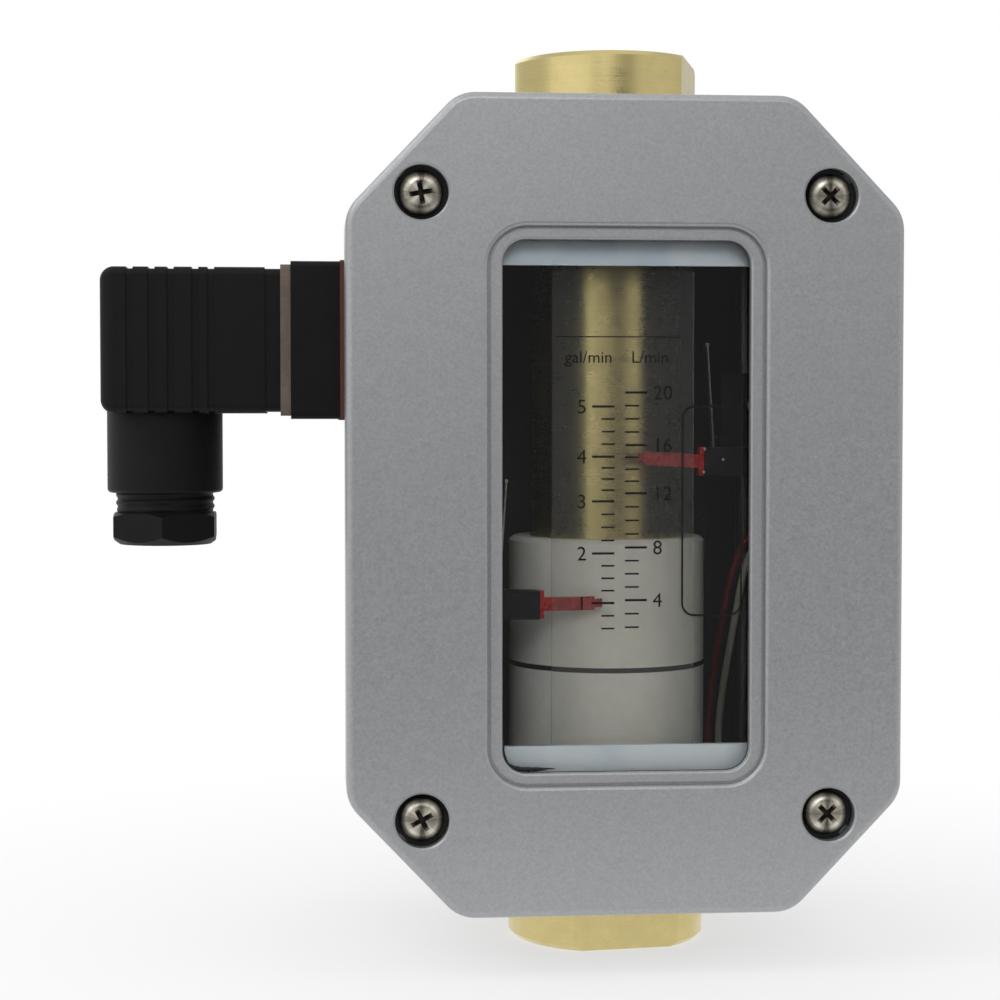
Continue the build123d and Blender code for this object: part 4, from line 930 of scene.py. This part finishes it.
# black sealant squeezed out in the lower left corner of the window: a tube whose radius wanders as a sum
# of waves and falls at both ends
def sealantBead():
    centreX, centreZ = centreOf("window_glass", 0), centreOf("window_glass", 2)
    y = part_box("window_glass")[0].y - bead["before"]
    path = smoothPath([(centreX + x * mm, y, centreZ + z * mm) for x, z in bead["points"]])
    along = np.linspace(0, 1, bead["steps"])
    steps = np.linspace(0, 1, len(path))
    path = np.stack([np.interp(along, steps, path[:, k]) for k in range(3)], axis=1)
    rng = np.random.default_rng(bead["seed"])
    waves = sum(np.sin(2 * np.pi * along * n + rng.uniform(0, 6.3)) / n ** 0.5 for n in bead["waves"])
    radius = bead["radius"] * (1 + bead["ragged"] * waves / bead["waveSum"])
    radius = np.maximum(radius * np.sin(np.pi * along) ** bead["blunt"], bead["least"])
    makePiece("sealantBead", tube(path, radius, bead["sides"]), looks["black_rubber"],
              "meter")


sealantBead()
print("sealant laid")

# places and level are in millimetres, the heights from the middle of the pointer
pins = {"radius": 0.32 * mm, "places": ((15.15, 2.3), (15.0, -1.9), (18.6, 0.35)), "level": -23.0,
        "proud": 0.25 * mm, "rows": 9, "sides": 12}


# ends of the small pins in the high carriage's arm: a ball each, flattened by proud against radius
def pointerPins():
    centre = centreOf("high_pointer", 2)
    level = pins["level"] * mm
    sides = pins["sides"]
    polar = np.linspace(0, np.pi, pins["rows"])[1:-1, None]
    around = np.linspace(0, 2 * np.pi, sides, endpoint=False)[None, :]
    rings = len(polar)
    pole = rings * sides
    balls = []
    for x, z in pins["places"]:
        corners = np.stack([
            x * mm + pins["radius"] * np.sin(polar) * np.cos(around),
            level - pins["proud"] * np.cos(polar) + 0 * around,
            centre + z * mm + pins["radius"] * np.sin(polar) * np.sin(around),
        ], axis=-1).reshape(-1, 3)
        poles = [[x * mm, level - pins["proud"], centre + z * mm],
                 [x * mm, level + pins["proud"], centre + z * mm]]
        faces = [tuple(q[::-1]) for q in gridQuads(rings, sides, closeColumns=True)]
        faces += [(pole, i, (i + 1) % sides) for i in range(sides)]
        faces += [(pole + 1, pole - sides + (i + 1) % sides, pole - sides + i) for i in range(sides)]
        balls.append((np.concatenate([corners, poles]), faces))
    makePiece("pointerPins", joined(balls), looks["stainless"], "high_carriage")


pointerPins()
print("pins set")

# levels are brightness, 1 is white; angles are in degrees, distances on the floor in metres
studio = {
    "cameraPlace": (-57.856 * mm, -423.064 * mm, 100.712 * mm), "yaw": -5.033, "pitch": -2.224,
    "lens": 79.08, "sensor": 36.0, "nearest": 0.01,
    "softLevel": 0.78, "whiteLevel": 0.74, "roomLevel": 0.13, "roomTurn": 8.5, "roomTilt": 1.0,
    "roomInner": 12.0, "roomOuter": 19.0,
    "floorReach": 1.2, "floorBelow": 0.2 * mm, "floorTone": (232, 232, 232),
    "floorGrain": (40.0, 0.85, 0.95), "floorShare": 0.62, "shadeFrom": 0.06, "shadeTo": 0.21,
    "dimFrom": 0.28, "dimTo": 0.1,
}


# camera at the photo's viewing angle, turned and tilted in degrees from straight ahead
def camera():
    data = bpy.data.cameras.new("camera")
    data.lens = studio["lens"]
    data.sensor_width = studio["sensor"]
    data.clip_start = studio["nearest"]
    made = linked("camera", data)
    made.location = studio["cameraPlace"]
    made.rotation_euler = (math.radians(90 + studio["pitch"]), 0.0, math.radians(studio["yaw"]))
    bpy.context.scene.camera = made


# rays of the light path that are mirrored or have gone through glass
def mirroredRays(tree, path):
    return maths(tree, "MAXIMUM", path["Is Glossy Ray"], path["Is Transmission Ray"])


# white for the eye and a soft level for the light itself; reflections and rays through glass see about that
# level too, with a dim patch straight in front of the object, as of the room behind the camera
def world():
    made = bpy.data.worlds.new("studio")
    bpy.context.scene.world = made
    made.use_nodes = True
    tree = made.node_tree
    path = add(tree, "ShaderNodeLightPath").outputs
    towards = add(tree, "ShaderNodeTexCoord").outputs["Generated"]
    turn = math.radians(studio["roomTurn"])
    tilt = math.radians(studio["roomTilt"])
    middle = (math.sin(turn) * math.cos(tilt), -math.cos(turn) * math.cos(tilt), -math.sin(tilt))
    ahead = vectorMaths(tree, "DOT_PRODUCT", towards, middle)["Value"]
    outer, inner = [math.cos(math.radians(studio[key])) for key in ("roomOuter", "roomInner")]
    mirrored = remap(tree, ahead, outer, inner, studio["whiteLevel"], studio["roomLevel"])
    direct = maths(tree, "LESS_THAN", path["Diffuse Depth"], 0.5)
    share = maths(tree, "MULTIPLY", mirroredRays(tree, path), direct)
    extra = maths(tree, "MULTIPLY", share, maths(tree, "SUBTRACT", mirrored, studio["softLevel"]))
    level = maths(tree, "MAXIMUM", path["Is Camera Ray"], maths(tree, "ADD", extra, studio["softLevel"]))
    connect(tree, tree.nodes["Background"], {"Color": (1.0, 1.0, 1.0, 1.0), "Strength": level})


# floor: part plain diffuse, which takes the shadow, and part white for the eye, all white further out and
# in reflections, which see it dim in front of the object, as the room behind the camera is
def floorMaterial():
    material, tree, shader, place = newMaterial("floor")
    connect(tree, shader, {"Base Color": shade(*studio["floorTone"]), "Specular IOR Level": 0.0,
                           "Roughness": grained(tree, place, *studio["floorGrain"])["Value"]})
    path = add(tree, "ShaderNodeLightPath").outputs
    away = vectorMaths(tree, "LENGTH", place)["Value"]
    white = remap(tree, away, studio["shadeFrom"], studio["shadeTo"], studio["floorShare"], 1.0)
    dimmed = remap(tree, split(tree, place)["Y"], -studio["dimFrom"], -studio["dimTo"], studio["roomLevel"],
                   1.0)
    level = maths(tree, "MAXIMUM", path["Is Camera Ray"], dimmed)
    glow = add(tree, "ShaderNodeEmission", {"Color": (1, 1, 1, 1), "Strength": level}).outputs[0]
    seen = maths(tree, "MULTIPLY", path["Is Camera Ray"], white)
    share = maths(tree, "MAXIMUM", mirroredRays(tree, path), seen)
    mixed = add(tree, "ShaderNodeMixShader", {0: share, 1: shader.outputs[0], 2: glow}).outputs[0]
    connect(tree, tree.nodes["Material Output"], {"Surface": mixed})
    return material


# a level square just below the object
def floor():
    reach = studio["floorReach"]
    level = cadBox[0].z - studio["floorBelow"]
    corners = [(x * reach, y * reach, level) for x, y in ((-1, -1), (1, -1), (1, 1), (-1, 1))]
    mesh = bpy.data.meshes.new("floor")
    mesh.from_pydata(corners, [], [(0, 1, 2, 3)])
    mesh.materials.append(floorMaterial())
    linked("floor", mesh)


lamps = {
    "key": {"place": (-0.7, -0.25, 0.9), "size": (0.6, 0.6), "watts": 2.0},
    "left": {"place": (-1.1, -0.9, 0.4), "size": (1.4, 1.4), "watts": 3.0},
    "right": {"place": (1.1, -0.9, 0.35), "size": (1.4, 1.4), "watts": 0.7},
    "front": {"place": (-0.08, -1.1, 0.64), "size": (0.4, 0.3), "watts": 1.6},
    "top": {"place": (0.0, -0.2, 1.25), "size": (1.2, 1.2), "watts": 1.2},
    "behind": {"place": (-0.3, 1.1, 0.6), "size": (1.2, 0.8), "watts": 2.5},
}


# soft box that faces the middle of the object
def lamp(name, look):
    data = bpy.data.lights.new(name, "AREA")
    data.shape = "RECTANGLE"
    data.size, data.size_y = look["size"]
    data.energy = look["watts"]
    made = linked(name, data)
    made.location = look["place"]
    aim = (cadBox[0] + cadBox[1]) / 2 - Vector(look["place"])
    made.rotation_euler = aim.to_track_quat("-Z", "Y").to_euler()


camera()
world()
floor()
for name, look in lamps.items():
    lamp(name, look)
bpy.context.scene.view_settings.view_transform = "Standard"
print("studio lit")
